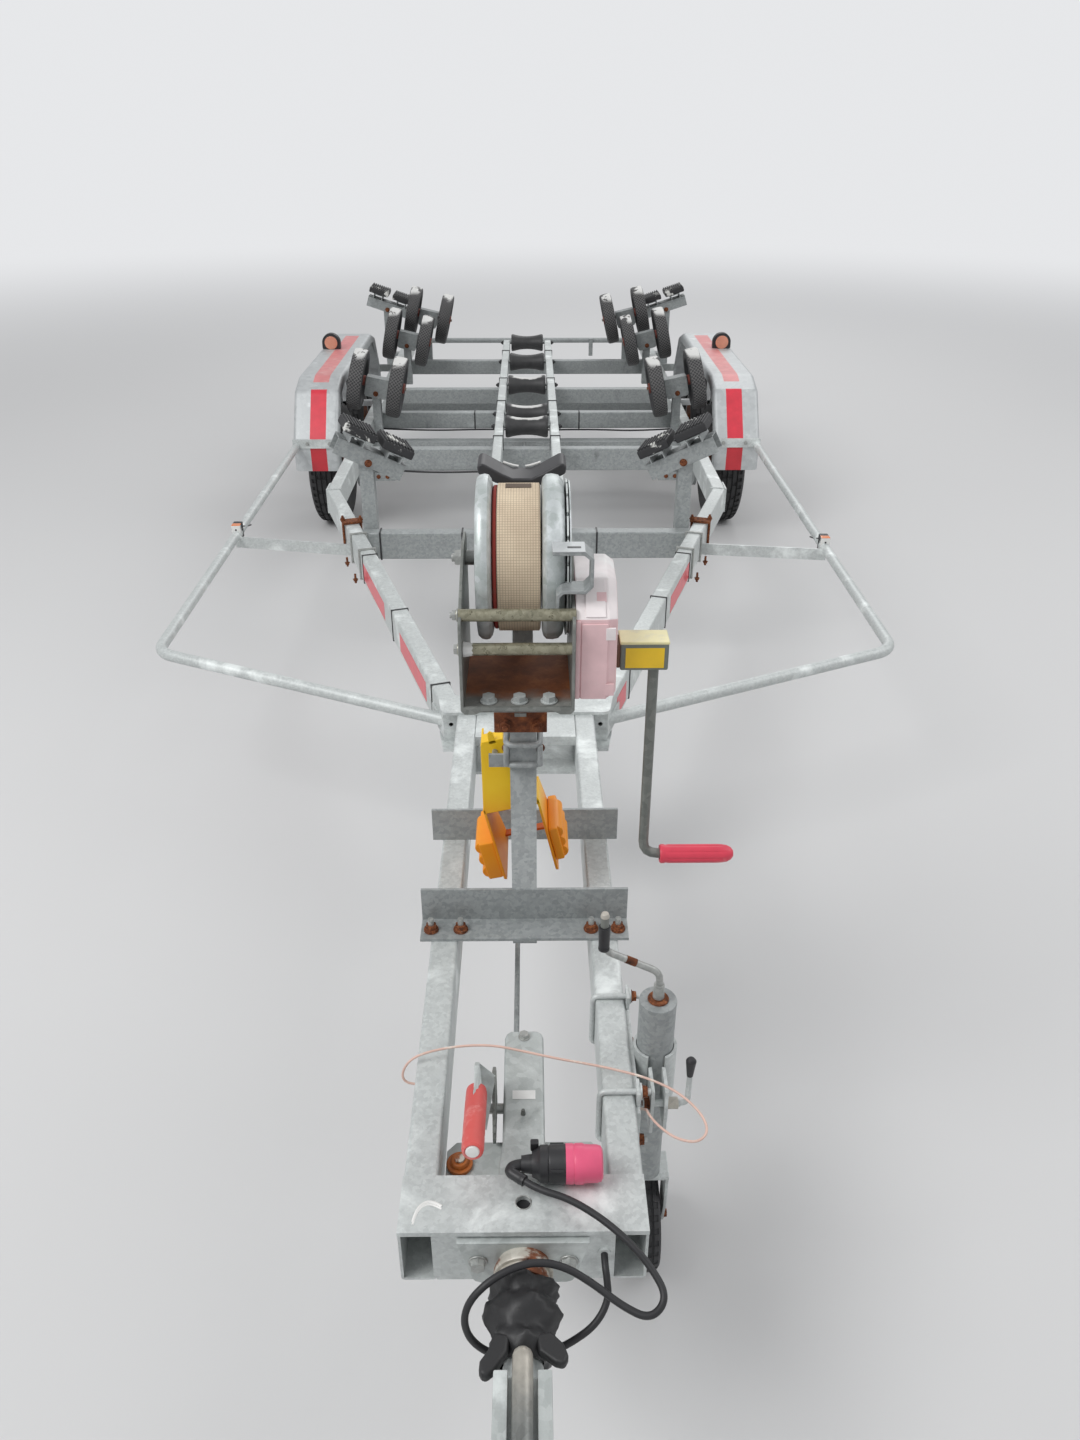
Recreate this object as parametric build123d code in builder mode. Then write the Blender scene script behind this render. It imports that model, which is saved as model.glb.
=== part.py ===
from collections import namedtuple
from math import atan2, cos, pi, radians, sin, tan
import os
from build123d import *

os.makedirs("parts", exist_ok=True)

# The frame: +Z is up, the coupling faces -Y, and the origin is on the ground at the middle of the box.
# A station is a distance behind the front of the coupling.
overall_length = 6950.0
overall_width = 2200.0
pin_fit = 0.05
rest_gap = 0.3
sides = (("left", -1), ("right", 1))


def at(station):
    """The y of a station."""
    return station - overall_length / 2


def offset_path(points, distance):
    """The points of a path moved to its left by a distance, with mitred corners."""
    moved = []
    count = len(points)
    for index in range(count):
        before = points[max(index - 1, 0)]
        here = points[index]
        after = points[min(index + 1, count - 1)]
        into = atan2(here[1] - before[1], here[0] - before[0])
        out = atan2(after[1] - here[1], after[0] - here[0])
        if index == 0:
            into = out
        if index == count - 1:
            out = into
        middle = (into + out) / 2
        reach = distance / cos((out - into) / 2)
        moved.append((here[0] - reach * sin(middle), here[1] + reach * cos(middle)))
    return moved


def strip_outline(points, low, high):
    """The closed outline between two offsets of a path."""
    return offset_path(points, low) + offset_path(points, high)[::-1]


def save(solid, name):
    """Labels a node and writes its file."""
    solid.label = name
    export_step(solid, f"parts/{name}.step")


# Tyres: their size, and the width over the outer walls of the pair
tyre_radius = 298.0
tyre_width = 165.0
tyre_outer = 1080.0

# Chassis tubes
frame_top = 555.0
tube_height = 100.0
tube_width = 50.0
tube_wall = 4.0
frame_middle = frame_top - tube_height / 2
frame_bottom = frame_top - tube_height

# Drawbar
drawbar_width = 346.0
drawbar_front = 390.0
drawbar_rear = 1884.0
drawbar_x = (drawbar_width - tube_width) / 2
drawbar_inner = drawbar_width / 2 - tube_width

with BuildPart() as drawbar_rails:
    with BuildSketch(Plane.XZ.offset(-at(drawbar_rear))):
        with Locations((-drawbar_x, frame_middle), (drawbar_x, frame_middle)):
            Rectangle(tube_width, tube_height)
            Rectangle(tube_width - 2 * tube_wall, tube_height - 2 * tube_wall, mode=Mode.SUBTRACT)
    extrude(amount=drawbar_rear - drawbar_front)
save(drawbar_rails.part, "drawbar_rails")

# Arms and side rails: they open out from the drawbar to the bend and then run rearward.
arm_front = drawbar_rear
arm_front_x = 186.7
arm_cut = 60.0
bend_station = 3692.0
side_to_tyre = 115.0
side_outer = tyre_outer - tyre_width - side_to_tyre
side_rear = overall_length
side_inner = side_outer - tube_width
side_x = side_outer - tube_width / 2
arm_slope = (side_x - arm_front_x) / (bend_station - arm_front)
arm_half_on_x = tube_width / 2 / cos(atan2(side_x - arm_front_x, bend_station - arm_front))
arm_front_outer = arm_front_x + arm_half_on_x


def arm_outer(station):
    """The x of an arm's outer face at a station."""
    return arm_front_outer + (station - arm_front) * arm_slope


def arm_inner(station):
    """The x of an arm's inner face at a station."""
    return arm_outer(station) - 2 * arm_half_on_x


arm_path = [
    (arm_front_x - arm_cut * arm_slope, at(arm_front - arm_cut)),
    (side_x, at(bend_station)),
    (side_x, at(side_rear)),
]
with BuildPart() as chassis_sides:
    with BuildSketch(Plane.XY.offset(frame_bottom)):
        with BuildLine():
            Polyline(*strip_outline(arm_path, -tube_width / 2, tube_width / 2), close=True)
        make_face()
    extrude(amount=tube_height)
    with BuildSketch(Plane.XY.offset(frame_bottom + tube_wall)):
        with BuildLine():
            bore_half = tube_width / 2 - tube_wall
            Polyline(*strip_outline(arm_path, -bore_half, bore_half), close=True)
        make_face()
    extrude(amount=tube_height - 2 * tube_wall, mode=Mode.SUBTRACT)
    with Locations((0, at(arm_front - arm_cut), frame_middle)):
        Box(2 * side_outer, 2 * arm_cut, tube_height, mode=Mode.SUBTRACT)
    mirror(about=Plane.YZ)
save(chassis_sides.part, "chassis_sides")

# Cross members between the arms and side rails, by the station of their middle, and the rear bar
Member = namedtuple("Member", "station height")
members = (
    Member(4300.0, 100.0),
    Member(4957.0, 80.0),
    Member(5470.0, 80.0),
    Member(6220.0, 80.0),
)
front_beam_station = 3205.0
front_beam_start = front_beam_station - tube_width / 2
front_beam_end = front_beam_station + tube_width / 2
rear_bar_radius = 16.0
rear_bar_setback = 20.0

with BuildPart() as cross_members:
    with BuildSketch(Plane.XY.offset(frame_bottom)):
        with BuildLine():
            Polyline(
                (-arm_inner(front_beam_start), at(front_beam_start)),
                (arm_inner(front_beam_start), at(front_beam_start)),
                (arm_inner(front_beam_end), at(front_beam_end)),
                (-arm_inner(front_beam_end), at(front_beam_end)),
                close=True,
            )
        make_face()
    extrude(amount=tube_height)
    with Locations((0, at(front_beam_station), frame_middle)):
        Box(2 * side_outer, tube_width - 2 * tube_wall, tube_height - 2 * tube_wall, mode=Mode.SUBTRACT)
    for member in members:
        with Locations((0, at(member.station), frame_top - member.height / 2)):
            Box(2 * side_inner, tube_width, member.height)
            Box(2 * side_inner, tube_width - 2 * tube_wall, member.height - 2 * tube_wall, mode=Mode.SUBTRACT)
    with Locations((0, at(side_rear - rear_bar_setback), frame_top - rear_bar_radius)):
        Cylinder(rear_bar_radius, 2 * side_inner, rotation=(0, 90, 0))
save(cross_members.part, "cross_members")

# Plates of the drawbar: the front plate and its web, then the plates where the arms meet the rails
plate = 8.0
front_plate_overhang = 3.0
front_plate_depth = 91.0
front_plate_start = drawbar_front - front_plate_overhang
front_plate_end = front_plate_start + front_plate_depth
front_hole_radius = 11.0
draw_x = 0.0
draw_z = 505.0
neck_radius = 36.0
grommet_x = 112.0
grommet_z = 515.0
grommet_radius = 9.0
grommet_length = 4.0
junction_front = 1730.0
junction_step = 1838.0
junction_rear = 1930.0
junction_corner = 20.0
junction_lip = 25.0
cheek_thick = 6.0
cheek_hole_radius = 6.0

with BuildPart() as drawbar_plates:
    with Locations((0, at(front_plate_start + front_plate_depth / 2), frame_top + plate / 2)):
        Box(drawbar_width, front_plate_depth, plate)
        Hole(front_hole_radius)
    with Locations((0, at(drawbar_front + plate / 2), frame_middle)):
        Box(2 * drawbar_inner, plate, tube_height)
    with Locations((draw_x, at(drawbar_front + plate / 2), draw_z)):
        Cylinder(neck_radius + 1, plate, rotation=(90, 0, 0), mode=Mode.SUBTRACT)
    with Locations((grommet_x, at(drawbar_front - grommet_length / 2), grommet_z)):
        Cylinder(grommet_radius, grommet_length, rotation=(90, 0, 0))
    with BuildSketch(Plane.XY.offset(frame_top)) as junction_sketch:
        with BuildLine():
            Polyline(
                (-arm_front_outer, at(junction_step)),
                (arm_front_outer, at(junction_step)),
                (arm_outer(junction_rear), at(junction_rear)),
                (-arm_outer(junction_rear), at(junction_rear)),
                close=True,
            )
        make_face()
        fillet(junction_sketch.vertices().group_by(Axis.Y)[0], junction_corner)
    extrude(amount=plate)
    with BuildSketch(Plane.XY.offset(frame_bottom)):
        with BuildLine():
            Polyline(
                (-drawbar_width / 2, at(junction_front)),
                (drawbar_width / 2, at(junction_front)),
                (drawbar_width / 2, at(junction_step)),
                (arm_front_outer, at(junction_step)),
                (arm_outer(junction_rear), at(junction_rear)),
                (-arm_outer(junction_rear), at(junction_rear)),
                (-arm_front_outer, at(junction_step)),
                (-drawbar_width / 2, at(junction_step)),
                close=True,
            )
        make_face()
    extrude(amount=-plate)
    with Locations((0, at((junction_front + drawbar_rear) / 2), frame_top - plate / 2)):
        Box(2 * drawbar_inner, drawbar_rear - junction_front, plate)
    with Locations((0, at(junction_front + cheek_thick / 2), frame_top - junction_lip / 2)):
        Box(2 * drawbar_inner, cheek_thick, junction_lip)
    for side_name, side in sides:
        cheek_width = arm_front_outer - drawbar_width / 2
        with Locations((side * (drawbar_width / 2 + cheek_width / 2), at(arm_front - cheek_thick / 2), frame_middle)):
            Box(cheek_width, cheek_thick, tube_height)
            Cylinder(cheek_hole_radius, cheek_thick, rotation=(90, 0, 0), mode=Mode.SUBTRACT)
save(drawbar_plates.part, "drawbar_plates")

# Keel ladder: two rails on the cross members, with rollers between them
keel_width = 294.0
keel_rail_width = 40.0
keel_rail_height = 60.0
keel_rail_wall = 3.0
keel_front = 3170.0
keel_rear = 6520.0
keel_x = (keel_width - keel_rail_width) / 2
keel_gap = keel_width - 2 * keel_rail_width
keel_rail_z = frame_top + keel_rail_height / 2
with BuildPart() as keel_ladder:
    with BuildSketch(Plane.XZ.offset(-at(keel_rear))):
        with Locations((-keel_x, keel_rail_z), (keel_x, keel_rail_z)):
            Rectangle(keel_rail_width, keel_rail_height)
            Rectangle(
                keel_rail_width - 2 * keel_rail_wall,
                keel_rail_height - 2 * keel_rail_wall,
                mode=Mode.SUBTRACT,
            )
    extrude(amount=keel_rear - keel_front)
save(keel_ladder.part, "keel_ladder")

# Keel rollers, low in the middle for the keel
keel_roller_stations = (4470.0, 4700.0, 5320.0, 5910.0, 6490.0)
keel_roller_radius = 50.0
keel_roller_waist = 38.0
keel_waist_half = 25.0
keel_rim_width = 25.0
keel_side_clearance = 9.0
keel_roller_half = keel_gap / 2 - keel_side_clearance
keel_roller_z = frame_top + 50.0
keel_shaft_radius = 8.0
keel_roller_profile = (
    (keel_roller_half, keel_shaft_radius + pin_fit),
    (keel_roller_half, keel_roller_radius),
    (keel_roller_half - keel_rim_width, keel_roller_radius),
    (keel_waist_half, keel_roller_waist),
)
for number, station in enumerate(keel_roller_stations, start=1):
    with BuildPart() as keel_roller:
        with BuildSketch(Plane.XZ.offset(-at(station))):
            with BuildLine():
                right = [(x, keel_roller_z + radius) for x, radius in keel_roller_profile]
                Polyline(*right, *[(-x, z) for x, z in right[::-1]], close=True)
            make_face()
        revolve(axis=Axis((0, at(station), keel_roller_z), (1, 0, 0)))
    save(keel_roller.part, f"keel_roller_{number}")

# Side supports: a post, a rocker that tips on its pin, and on the rocker two wheels or two pads.
# The front pads' pins are turned about the vertical, so that their rear ends point outward.
Support = namedtuple("Support", "name station x pivot_z post_half tilt turn")
wheel_post_half = 20.0
pad_post_half = 25.0
rear_support_start = 6314.0
middle_inset = 100.0
rear_inset = 200.0
front_pad_inset = 232.0
rear_pad_reach = 62.0
wheel_supports = (
    Support("front", 4810.0, side_inner - wheel_post_half, 683.0, wheel_post_half, 12.0, 0.0),
    Support("middle", 6040.0, side_outer - middle_inset, 676.0, wheel_post_half, 13.0, 0.0),
    Support("rear", rear_support_start + wheel_post_half, side_outer - rear_inset, 750.0, wheel_post_half, 13.0, 0.0),
)
pad_supports = (
    Support("front", front_beam_end + pad_post_half, side_outer - front_pad_inset, 800.0, pad_post_half, 28.0, 17.0),
    Support("rear", 6560.0, side_outer + rear_pad_reach, 795.0, pad_post_half, 18.0, 0.0),
)
pivot_radius = 8.0
post_below_top = 8.0
rocker_gap = 6.0
rocker_plate = 4.0
pin_end = 8.0
spacer_size = 60.0


def flange_start(support):
    """How far along the pin a rocker's side plates begin: past the post's corner, with a gap."""
    turn = radians(support.turn)
    return support.post_half * (cos(turn) + sin(turn)) + rocker_gap


with BuildPart() as roller_mounts:
    for station in keel_roller_stations:
        with Locations((0, at(station), keel_roller_z)):
            Cylinder(keel_shaft_radius, keel_gap, rotation=(0, 90, 0))
    for side_name, side in sides:
        for support in wheel_supports + pad_supports:
            post_top = support.pivot_z + support.post_half - post_below_top
            with Locations((side * support.x, at(support.station), (frame_bottom + post_top) / 2)):
                Box(2 * support.post_half, 2 * support.post_half, post_top - frame_bottom)
            pin_length = 2 * (flange_start(support) + rocker_plate + pin_end)
            with Locations((side * support.x, at(support.station), support.pivot_z)):
                Cylinder(pivot_radius, pin_length, rotation=(90, -side * support.turn, 0))
        middle = wheel_supports[1]
        middle_face = middle.x + middle.post_half
        with Locations((side * (middle_face + side_inner) / 2, at(middle.station), frame_middle)):
            Box(side_inner - middle_face, spacer_size, spacer_size)
        member_face = members[-1].station + tube_width / 2
        with Locations((side * wheel_supports[2].x, at((member_face + rear_support_start) / 2), frame_middle)):
            Box(spacer_size, rear_support_start - member_face, spacer_size)
        rear_pad = pad_supports[1]
        pad_face = rear_pad.x - rear_pad.post_half
        with Locations((side * (side_outer + pad_face) / 2, at(rear_pad.station), frame_middle)):
            Box(pad_face - side_outer, spacer_size, spacer_size)
save(roller_mounts.part, "roller_mounts")

rocker_half = 54.0
rocker_height = 90.0
rocker_middle = 25.0
rocker_end_height = 44.0
rocker_top = rocker_middle + rocker_height / 2
axle_above = 45.0
axle_radius = 8.0
hub_boss_radius = 24.0
hub_boss_half = 38.0
wheel_radius = 143.0
wheel_width = 68.0
wheel_edge = 8.0
wheel_spread = 95.0
axle_end = 8.0


def tipped_plane(support, side):
    """The plane at a rocker's pivot, tipped so that its inner side is low, with Y along the pin."""
    lean = radians(support.tilt)
    turn = radians(support.turn)
    return Plane(
        origin=(side * support.x, at(support.station), support.pivot_z),
        x_dir=(cos(lean) * cos(turn), -side * cos(lean) * sin(turn), side * sin(lean)),
        z_dir=(-side * sin(lean) * cos(turn), sin(lean) * sin(turn), cos(lean)),
    )


for side_name, side in sides:
    for support in wheel_supports:
        flange_y = flange_start(support) + rocker_plate / 2
        with BuildPart(tipped_plane(support, side)) as rocker:
            with Locations((0, -flange_y, rocker_middle), (0, flange_y, rocker_middle)):
                Box(2 * rocker_half, rocker_plate, rocker_height)
            with Locations((0, 0, rocker_top + rocker_plate / 2)):
                Box(2 * rocker_half, 2 * flange_y + rocker_plate, rocker_plate)
            end_x = rocker_half - rocker_plate / 2
            end_z = rocker_top - rocker_end_height / 2
            with Locations((end_x, 0, end_z), (-end_x, 0, end_z)):
                Box(rocker_plate, 2 * flange_y, rocker_end_height)
            with Locations((0, 0, axle_above)):
                Cylinder(axle_radius + pin_fit, 3 * rocker_half, rotation=(0, 90, 0), mode=Mode.SUBTRACT)
            Cylinder(pivot_radius + pin_fit, 3 * flange_y, rotation=(90, 0, 0), mode=Mode.SUBTRACT)
        save(rocker.part, f"rocker_{support.name}_{side_name}")
        with BuildPart(tipped_plane(support, side)) as wheel_pair:
            with Locations((-wheel_spread, 0, axle_above), (wheel_spread, 0, axle_above)):
                Cylinder(wheel_radius, wheel_width, rotation=(0, 90, 0))
            chamfer(wheel_pair.edges().filter_by(GeomType.CIRCLE), wheel_edge)
            with Locations((-wheel_spread, 0, axle_above), (wheel_spread, 0, axle_above)):
                Cylinder(hub_boss_radius, 2 * hub_boss_half, rotation=(0, 90, 0))
            with Locations((0, 0, axle_above)):
                Cylinder(axle_radius, 2 * (wheel_spread + hub_boss_half + axle_end), rotation=(0, 90, 0))
        save(wheel_pair.part, f"wheel_pair_{support.name}_{side_name}")

pad_channel_length = 260.0
pad_channel_height = 60.0
pad_channel_top = 45.0
carrier_length = 55.0
carrier_width = 140.0
carrier_height = 28.0
carrier_spread = 72.0
pad_length = 120.0
pad_width = 150.0
pad_height = 38.0
pad_edge = 6.0
for side_name, side in sides:
    for support in pad_supports:
        flange_y = flange_start(support) + rocker_plate / 2
        with BuildPart(tipped_plane(support, side)) as pad_rocker:
            pad_z = pad_channel_top + carrier_height + pad_height / 2
            with Locations((-carrier_spread, 0, pad_z), (carrier_spread, 0, pad_z)):
                Box(pad_length, pad_width, pad_height)
            chamfer(pad_rocker.edges(), pad_edge)
            flange_z = pad_channel_top - pad_channel_height / 2
            with Locations((0, -flange_y, flange_z), (0, flange_y, flange_z)):
                Box(pad_channel_length, rocker_plate, pad_channel_height)
            with Locations((0, 0, pad_channel_top - rocker_plate / 2)):
                Box(pad_channel_length, 2 * flange_y + rocker_plate, rocker_plate)
            carrier_z = pad_channel_top + carrier_height / 2
            carrier_top = pad_channel_top + carrier_height - rocker_plate / 2
            for carrier_x in (-carrier_spread, carrier_spread):
                with Locations((carrier_x, 0, carrier_top)):
                    Box(carrier_length, carrier_width, rocker_plate)
                leg_x = (carrier_length - rocker_plate) / 2
                with Locations((carrier_x - leg_x, 0, carrier_z), (carrier_x + leg_x, 0, carrier_z)):
                    Box(rocker_plate, carrier_width, carrier_height)
            Cylinder(pivot_radius + pin_fit, 3 * flange_y, rotation=(90, 0, 0), mode=Mode.SUBTRACT)
        save(pad_rocker.part, f"pad_rocker_{support.name}_{side_name}")

# Road wheels and the rubber-sprung axles that carry them
axle_stations = (4960.0, 5760.0)
tread_width = 128.0
shoulder_drop = 16.0
bead_radius = 165.0
bead_width = 140.0
tyre_x = tyre_outer - tyre_width / 2
wheel_z = tyre_radius
spindle_radius = 17.5
spindle_setback = 12.5
hub_radius = 45.0
hub_length = 100.0
hub_setback = 34.0
rim_width = 130.0
rim_wall = 6.0
rim_disc = 8.0
rim_disc_offset = 12.0
arm_setback = 162.5
trail_arm_thick = 32.0
trail_arm_x = tyre_x - arm_setback
trail_arm_face = trail_arm_x + trail_arm_thick / 2
backplate_gap = 2.0
backplate_thick = 14.0
backplate_radius = 120.0
drum_gap = 3.0
drum_radius = 116.0
drum_length = 58.0
drum_wall = 8.0
drum_start = trail_arm_face + backplate_gap + backplate_thick + drum_gap
spring_tube_z = 410.0
spring_tube_ahead = 135.0
spring_tube_side = 70.0
axle_bracket_length = 120.0
axle_bracket_width = 40.0
brake_rod_radius = 5.0
brake_rod_x = -15.0
brake_rod_z = 440.0
housing_rear = 768.0

with BuildPart() as axles:
    for station in axle_stations:
        tube_station = station - spring_tube_ahead
        with Locations((0, at(tube_station), spring_tube_z)):
            Box(2 * trail_arm_x - trail_arm_thick, spring_tube_side, spring_tube_side)
        for side_name, side in sides:
            with Locations((side * side_x, at(tube_station), (frame_bottom + spring_tube_z) / 2)):
                Box(axle_bracket_width, axle_bracket_length, frame_bottom - spring_tube_z)
            with BuildSketch(Plane.YZ.offset(side * trail_arm_x)):
                with BuildLine():
                    Polyline(
                        (at(tube_station - 35), spring_tube_z - 30),
                        (at(tube_station - 20), spring_tube_z + 35),
                        (at(tube_station + 40), spring_tube_z + 30),
                        (at(station + 30), wheel_z + 25),
                        (at(station + 25), wheel_z - 30),
                        (at(station - 30), wheel_z - 25),
                        close=True,
                    )
                make_face()
            extrude(amount=trail_arm_thick / 2, both=True)
            spindle_end = tyre_x - spindle_setback
            with Locations((side * (trail_arm_x + spindle_end) / 2, at(station), wheel_z)):
                Cylinder(spindle_radius, spindle_end - trail_arm_x, rotation=(0, 90, 0))
            backplate_x = trail_arm_face + backplate_gap + backplate_thick / 2
            with Locations((side * backplate_x, at(station), wheel_z)):
                Cylinder(backplate_radius, backplate_thick, rotation=(0, 90, 0))
    rod_end = axle_stations[0] - spring_tube_ahead - spring_tube_side / 2 - rest_gap
    with Locations((brake_rod_x, at((housing_rear + rod_end) / 2), brake_rod_z)):
        Cylinder(brake_rod_radius, rod_end - housing_rear, rotation=(90, 0, 0))
save(axles.part, "axles")

for side_name, side in sides:
    for end, station in zip(("front", "rear"), axle_stations):
        with BuildPart() as tyre:
            with BuildSketch(Plane.XZ.offset(-at(station))):
                with BuildLine():
                    inner_x = side * (tyre_x - tyre_width / 2)
                    outer_x = side * (tyre_x + tyre_width / 2)
                    wall_z = wheel_z + (tyre_radius + bead_radius) / 2
                    Polyline(
                        (side * (tyre_x - bead_width / 2), wheel_z + bead_radius),
                        (inner_x, wall_z),
                        (side * (tyre_x - tread_width / 2 - 9), wheel_z + tyre_radius - shoulder_drop),
                        (side * (tyre_x - tread_width / 2), wheel_z + tyre_radius),
                        (side * (tyre_x + tread_width / 2), wheel_z + tyre_radius),
                        (side * (tyre_x + tread_width / 2 + 9), wheel_z + tyre_radius - shoulder_drop),
                        (outer_x, wall_z),
                        (side * (tyre_x + bead_width / 2), wheel_z + bead_radius),
                        close=True,
                    )
                make_face()
            revolve(axis=Axis((0, at(station), wheel_z), (1, 0, 0)))
        save(tyre.part, f"tyre_{end}_{side_name}")
        with BuildPart() as rim:
            with Locations((side * tyre_x, at(station), wheel_z)):
                Cylinder(bead_radius, rim_width, rotation=(0, 90, 0))
                Cylinder(bead_radius - rim_wall, rim_width, rotation=(0, 90, 0), mode=Mode.SUBTRACT)
            with Locations((side * (tyre_x + rim_disc_offset), at(station), wheel_z)):
                Cylinder(bead_radius - rim_wall / 2, rim_disc, rotation=(0, 90, 0))
            with Locations((side * (drum_start + drum_length / 2), at(station), wheel_z)):
                Cylinder(drum_radius, drum_length, rotation=(0, 90, 0))
            with Locations((side * (drum_start + (drum_length - drum_wall) / 2), at(station), wheel_z)):
                Cylinder(drum_radius - drum_wall, drum_length - drum_wall, rotation=(0, 90, 0), mode=Mode.SUBTRACT)
            with Locations((side * (tyre_x - hub_setback), at(station), wheel_z)):
                Cylinder(hub_radius, hub_length, rotation=(0, 90, 0))
            hub_end = tyre_x - hub_setback + hub_length / 2
            bore_end = tyre_x - spindle_setback + rest_gap
            with Locations((side * (drum_start + bore_end) / 2, at(station), wheel_z)):
                Cylinder(spindle_radius + pin_fit, bore_end - drum_start, rotation=(0, 90, 0), mode=Mode.SUBTRACT)
            with Locations((side * hub_end, at(station), wheel_z)):
                Cylinder(hub_radius - 12, 2 * rim_disc, rotation=(0, 90, 0))
        save(rim.part, f"rim_{end}_{side_name}")

# Side guards: a tube on each side, held by flat bars to the arm and the side rail
guard_tube_radius = 17.0
guard_tube_z = 500.0
guard_tube_front = 1935.0
guard_tube_bend = 2320.0
guard_bend_radius = 90.0
flat_bar = 6.0
flat_bar_height = 42.0
flat_bar_z = 482.0
mudguard_bar_z = 513.0
bar_shifts = {"left": 90.0, "right": -63.0}
mudguard_inner_gap = 30.0
mudguard_inner = tyre_outer - tyre_width - mudguard_inner_gap
mudguard_outer = overall_width / 2
mudguard_middle = sum(axle_stations) / 2
mudguard_reach = 840.0
guard_tube_x = mudguard_outer - guard_tube_radius
mudguard_front = mudguard_middle - mudguard_reach
mudguard_rear = mudguard_middle + mudguard_reach
guard_tube_end = mudguard_front - flat_bar

with BuildPart() as side_guards:
    for side_name, side in sides:
        with BuildLine() as guard_line:
            FilletPolyline(
                (side * drawbar_width / 2, at(guard_tube_front - 40), guard_tube_z),
                (side * guard_tube_x, at(guard_tube_bend), guard_tube_z),
                (side * guard_tube_x, at(guard_tube_end), guard_tube_z),
                radius=guard_bend_radius,
            )
        with BuildSketch(Plane(guard_line.line @ 0, z_dir=guard_line.line % 0)):
            Circle(guard_tube_radius)
        sweep()
    with BuildSketch(Plane.XY.offset(frame_bottom)):
        with BuildLine():
            Polyline(
                (-arm_outer(junction_step), at(junction_step)),
                (arm_outer(junction_step), at(junction_step)),
                (arm_outer(guard_tube_bend), at(guard_tube_bend)),
                (-arm_outer(guard_tube_bend), at(guard_tube_bend)),
                close=True,
            )
        make_face()
    extrude(amount=tube_height, mode=Mode.SUBTRACT)
    for side_name, side in sides:
        with BuildSketch(Plane.XY.offset(flat_bar_z - flat_bar_height / 2)):
            bar_front = front_beam_station - flat_bar / 2
            bar_rear = front_beam_station + flat_bar / 2
            with BuildLine():
                Polyline(
                    (side * arm_outer(bar_front), at(bar_front)),
                    (side * guard_tube_x, at(bar_front + bar_shifts[side_name])),
                    (side * guard_tube_x, at(bar_rear + bar_shifts[side_name])),
                    (side * arm_outer(bar_rear), at(bar_rear)),
                    close=True,
                )
            make_face()
        extrude(amount=flat_bar_height)
        bar_middle = (side_outer + mudguard_outer) / 2
        front_bar = mudguard_front - flat_bar / 2
        rear_bar = mudguard_rear + flat_bar / 2
        for bar_station in (front_bar, rear_bar):
            with Locations((side * bar_middle, at(bar_station), mudguard_bar_z)):
                Box(mudguard_outer - side_outer, flat_bar, flat_bar_height)
save(side_guards.part, "side_guards")

# Mudguards: folded sheet with a lip all round, and a stay to the side rail between the wheels
mudguard_sheet = 3.0
mudguard_lip = 45.0
mudguard_low = 380.0
mudguard_knee = 520.0
mudguard_shoulder = 720.0
mudguard_shoulder_reach = 690.0
mudguard_top = 765.0
mudguard_top_reach = 540.0
mudguard_half = (
    (mudguard_reach, mudguard_low),
    (mudguard_reach, mudguard_knee),
    (mudguard_shoulder_reach, mudguard_shoulder),
    (mudguard_top_reach, mudguard_top),
)
mudguard_points = [(at(mudguard_middle - reach), z) for reach, z in mudguard_half]
mudguard_points += [(at(mudguard_middle + reach), z) for reach, z in mudguard_half[::-1]]
mudguard_x = (mudguard_inner + mudguard_outer) / 2
mudguard_half_width = (mudguard_outer - mudguard_inner) / 2
stay_side = 30.0
stay_end = 110.0
with BuildPart() as mudguards:
    for side_name, side in sides:
        with BuildSketch(Plane.YZ.offset(side * mudguard_x)):
            with BuildLine():
                Polyline(*strip_outline(mudguard_points, 0, -mudguard_lip), close=True)
            make_face()
        extrude(amount=mudguard_half_width, both=True)
        with BuildSketch(Plane.YZ.offset(side * mudguard_x)):
            with BuildLine():
                Polyline(*strip_outline(mudguard_points, -mudguard_sheet, -2 * mudguard_lip), close=True)
            make_face()
        extrude(amount=mudguard_half_width - mudguard_sheet, both=True, mode=Mode.SUBTRACT)
        stay_x = mudguard_inner + stay_end
        with Locations((side * (side_outer + stay_x) / 2, at(mudguard_middle), frame_middle)):
            Box(stay_x - side_outer, stay_side, stay_side)
        stay_low = frame_middle - stay_side / 2
        stay_high = mudguard_top - mudguard_sheet / 2
        with Locations((side * (stay_x - stay_side / 2), at(mudguard_middle), (stay_low + stay_high) / 2)):
            Box(stay_side, stay_side, stay_high - stay_low)
save(mudguards.part, "mudguards")

# Lamps: round markers in housings on the mudguards, and small lamps on the guard tubes
marker_station = 5462.0
marker_radius = 48.5
marker_rise = 31.0
marker_depth = 45.0
marker_setback = 60.0
side_lamp_setback = 20.0
side_lamp_length = 50.0
side_lamp_height = 39.0
with BuildPart() as lamps:
    for side_name, side in sides:
        marker_x = mudguard_outer - marker_setback
        with BuildSketch(Plane.XZ.offset(-at(marker_station + marker_depth / 2))):
            with Locations((side * marker_x, mudguard_top + marker_rise)):
                Circle(marker_radius)
            with Locations((side * marker_x, mudguard_top + marker_rise / 2)):
                Rectangle(2 * marker_radius, marker_rise)
            with Locations((side * marker_x, mudguard_top - marker_radius / 2)):
                Rectangle(2 * marker_radius, marker_radius, mode=Mode.SUBTRACT)
        extrude(amount=marker_depth)
        bar_station = front_beam_station + bar_shifts[side_name]
        side_lamp_station = bar_station + side_lamp_setback + side_lamp_length / 2
        with Locations((side * guard_tube_x, at(side_lamp_station), guard_tube_z + side_lamp_height / 2)):
            Box(2 * guard_tube_radius, side_lamp_length, side_lamp_height)
        with Locations((side * guard_tube_x, at(side_lamp_station), guard_tube_z)):
            Cylinder(guard_tube_radius + pin_fit, side_lamp_length, rotation=(90, 0, 0), mode=Mode.SUBTRACT)
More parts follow.
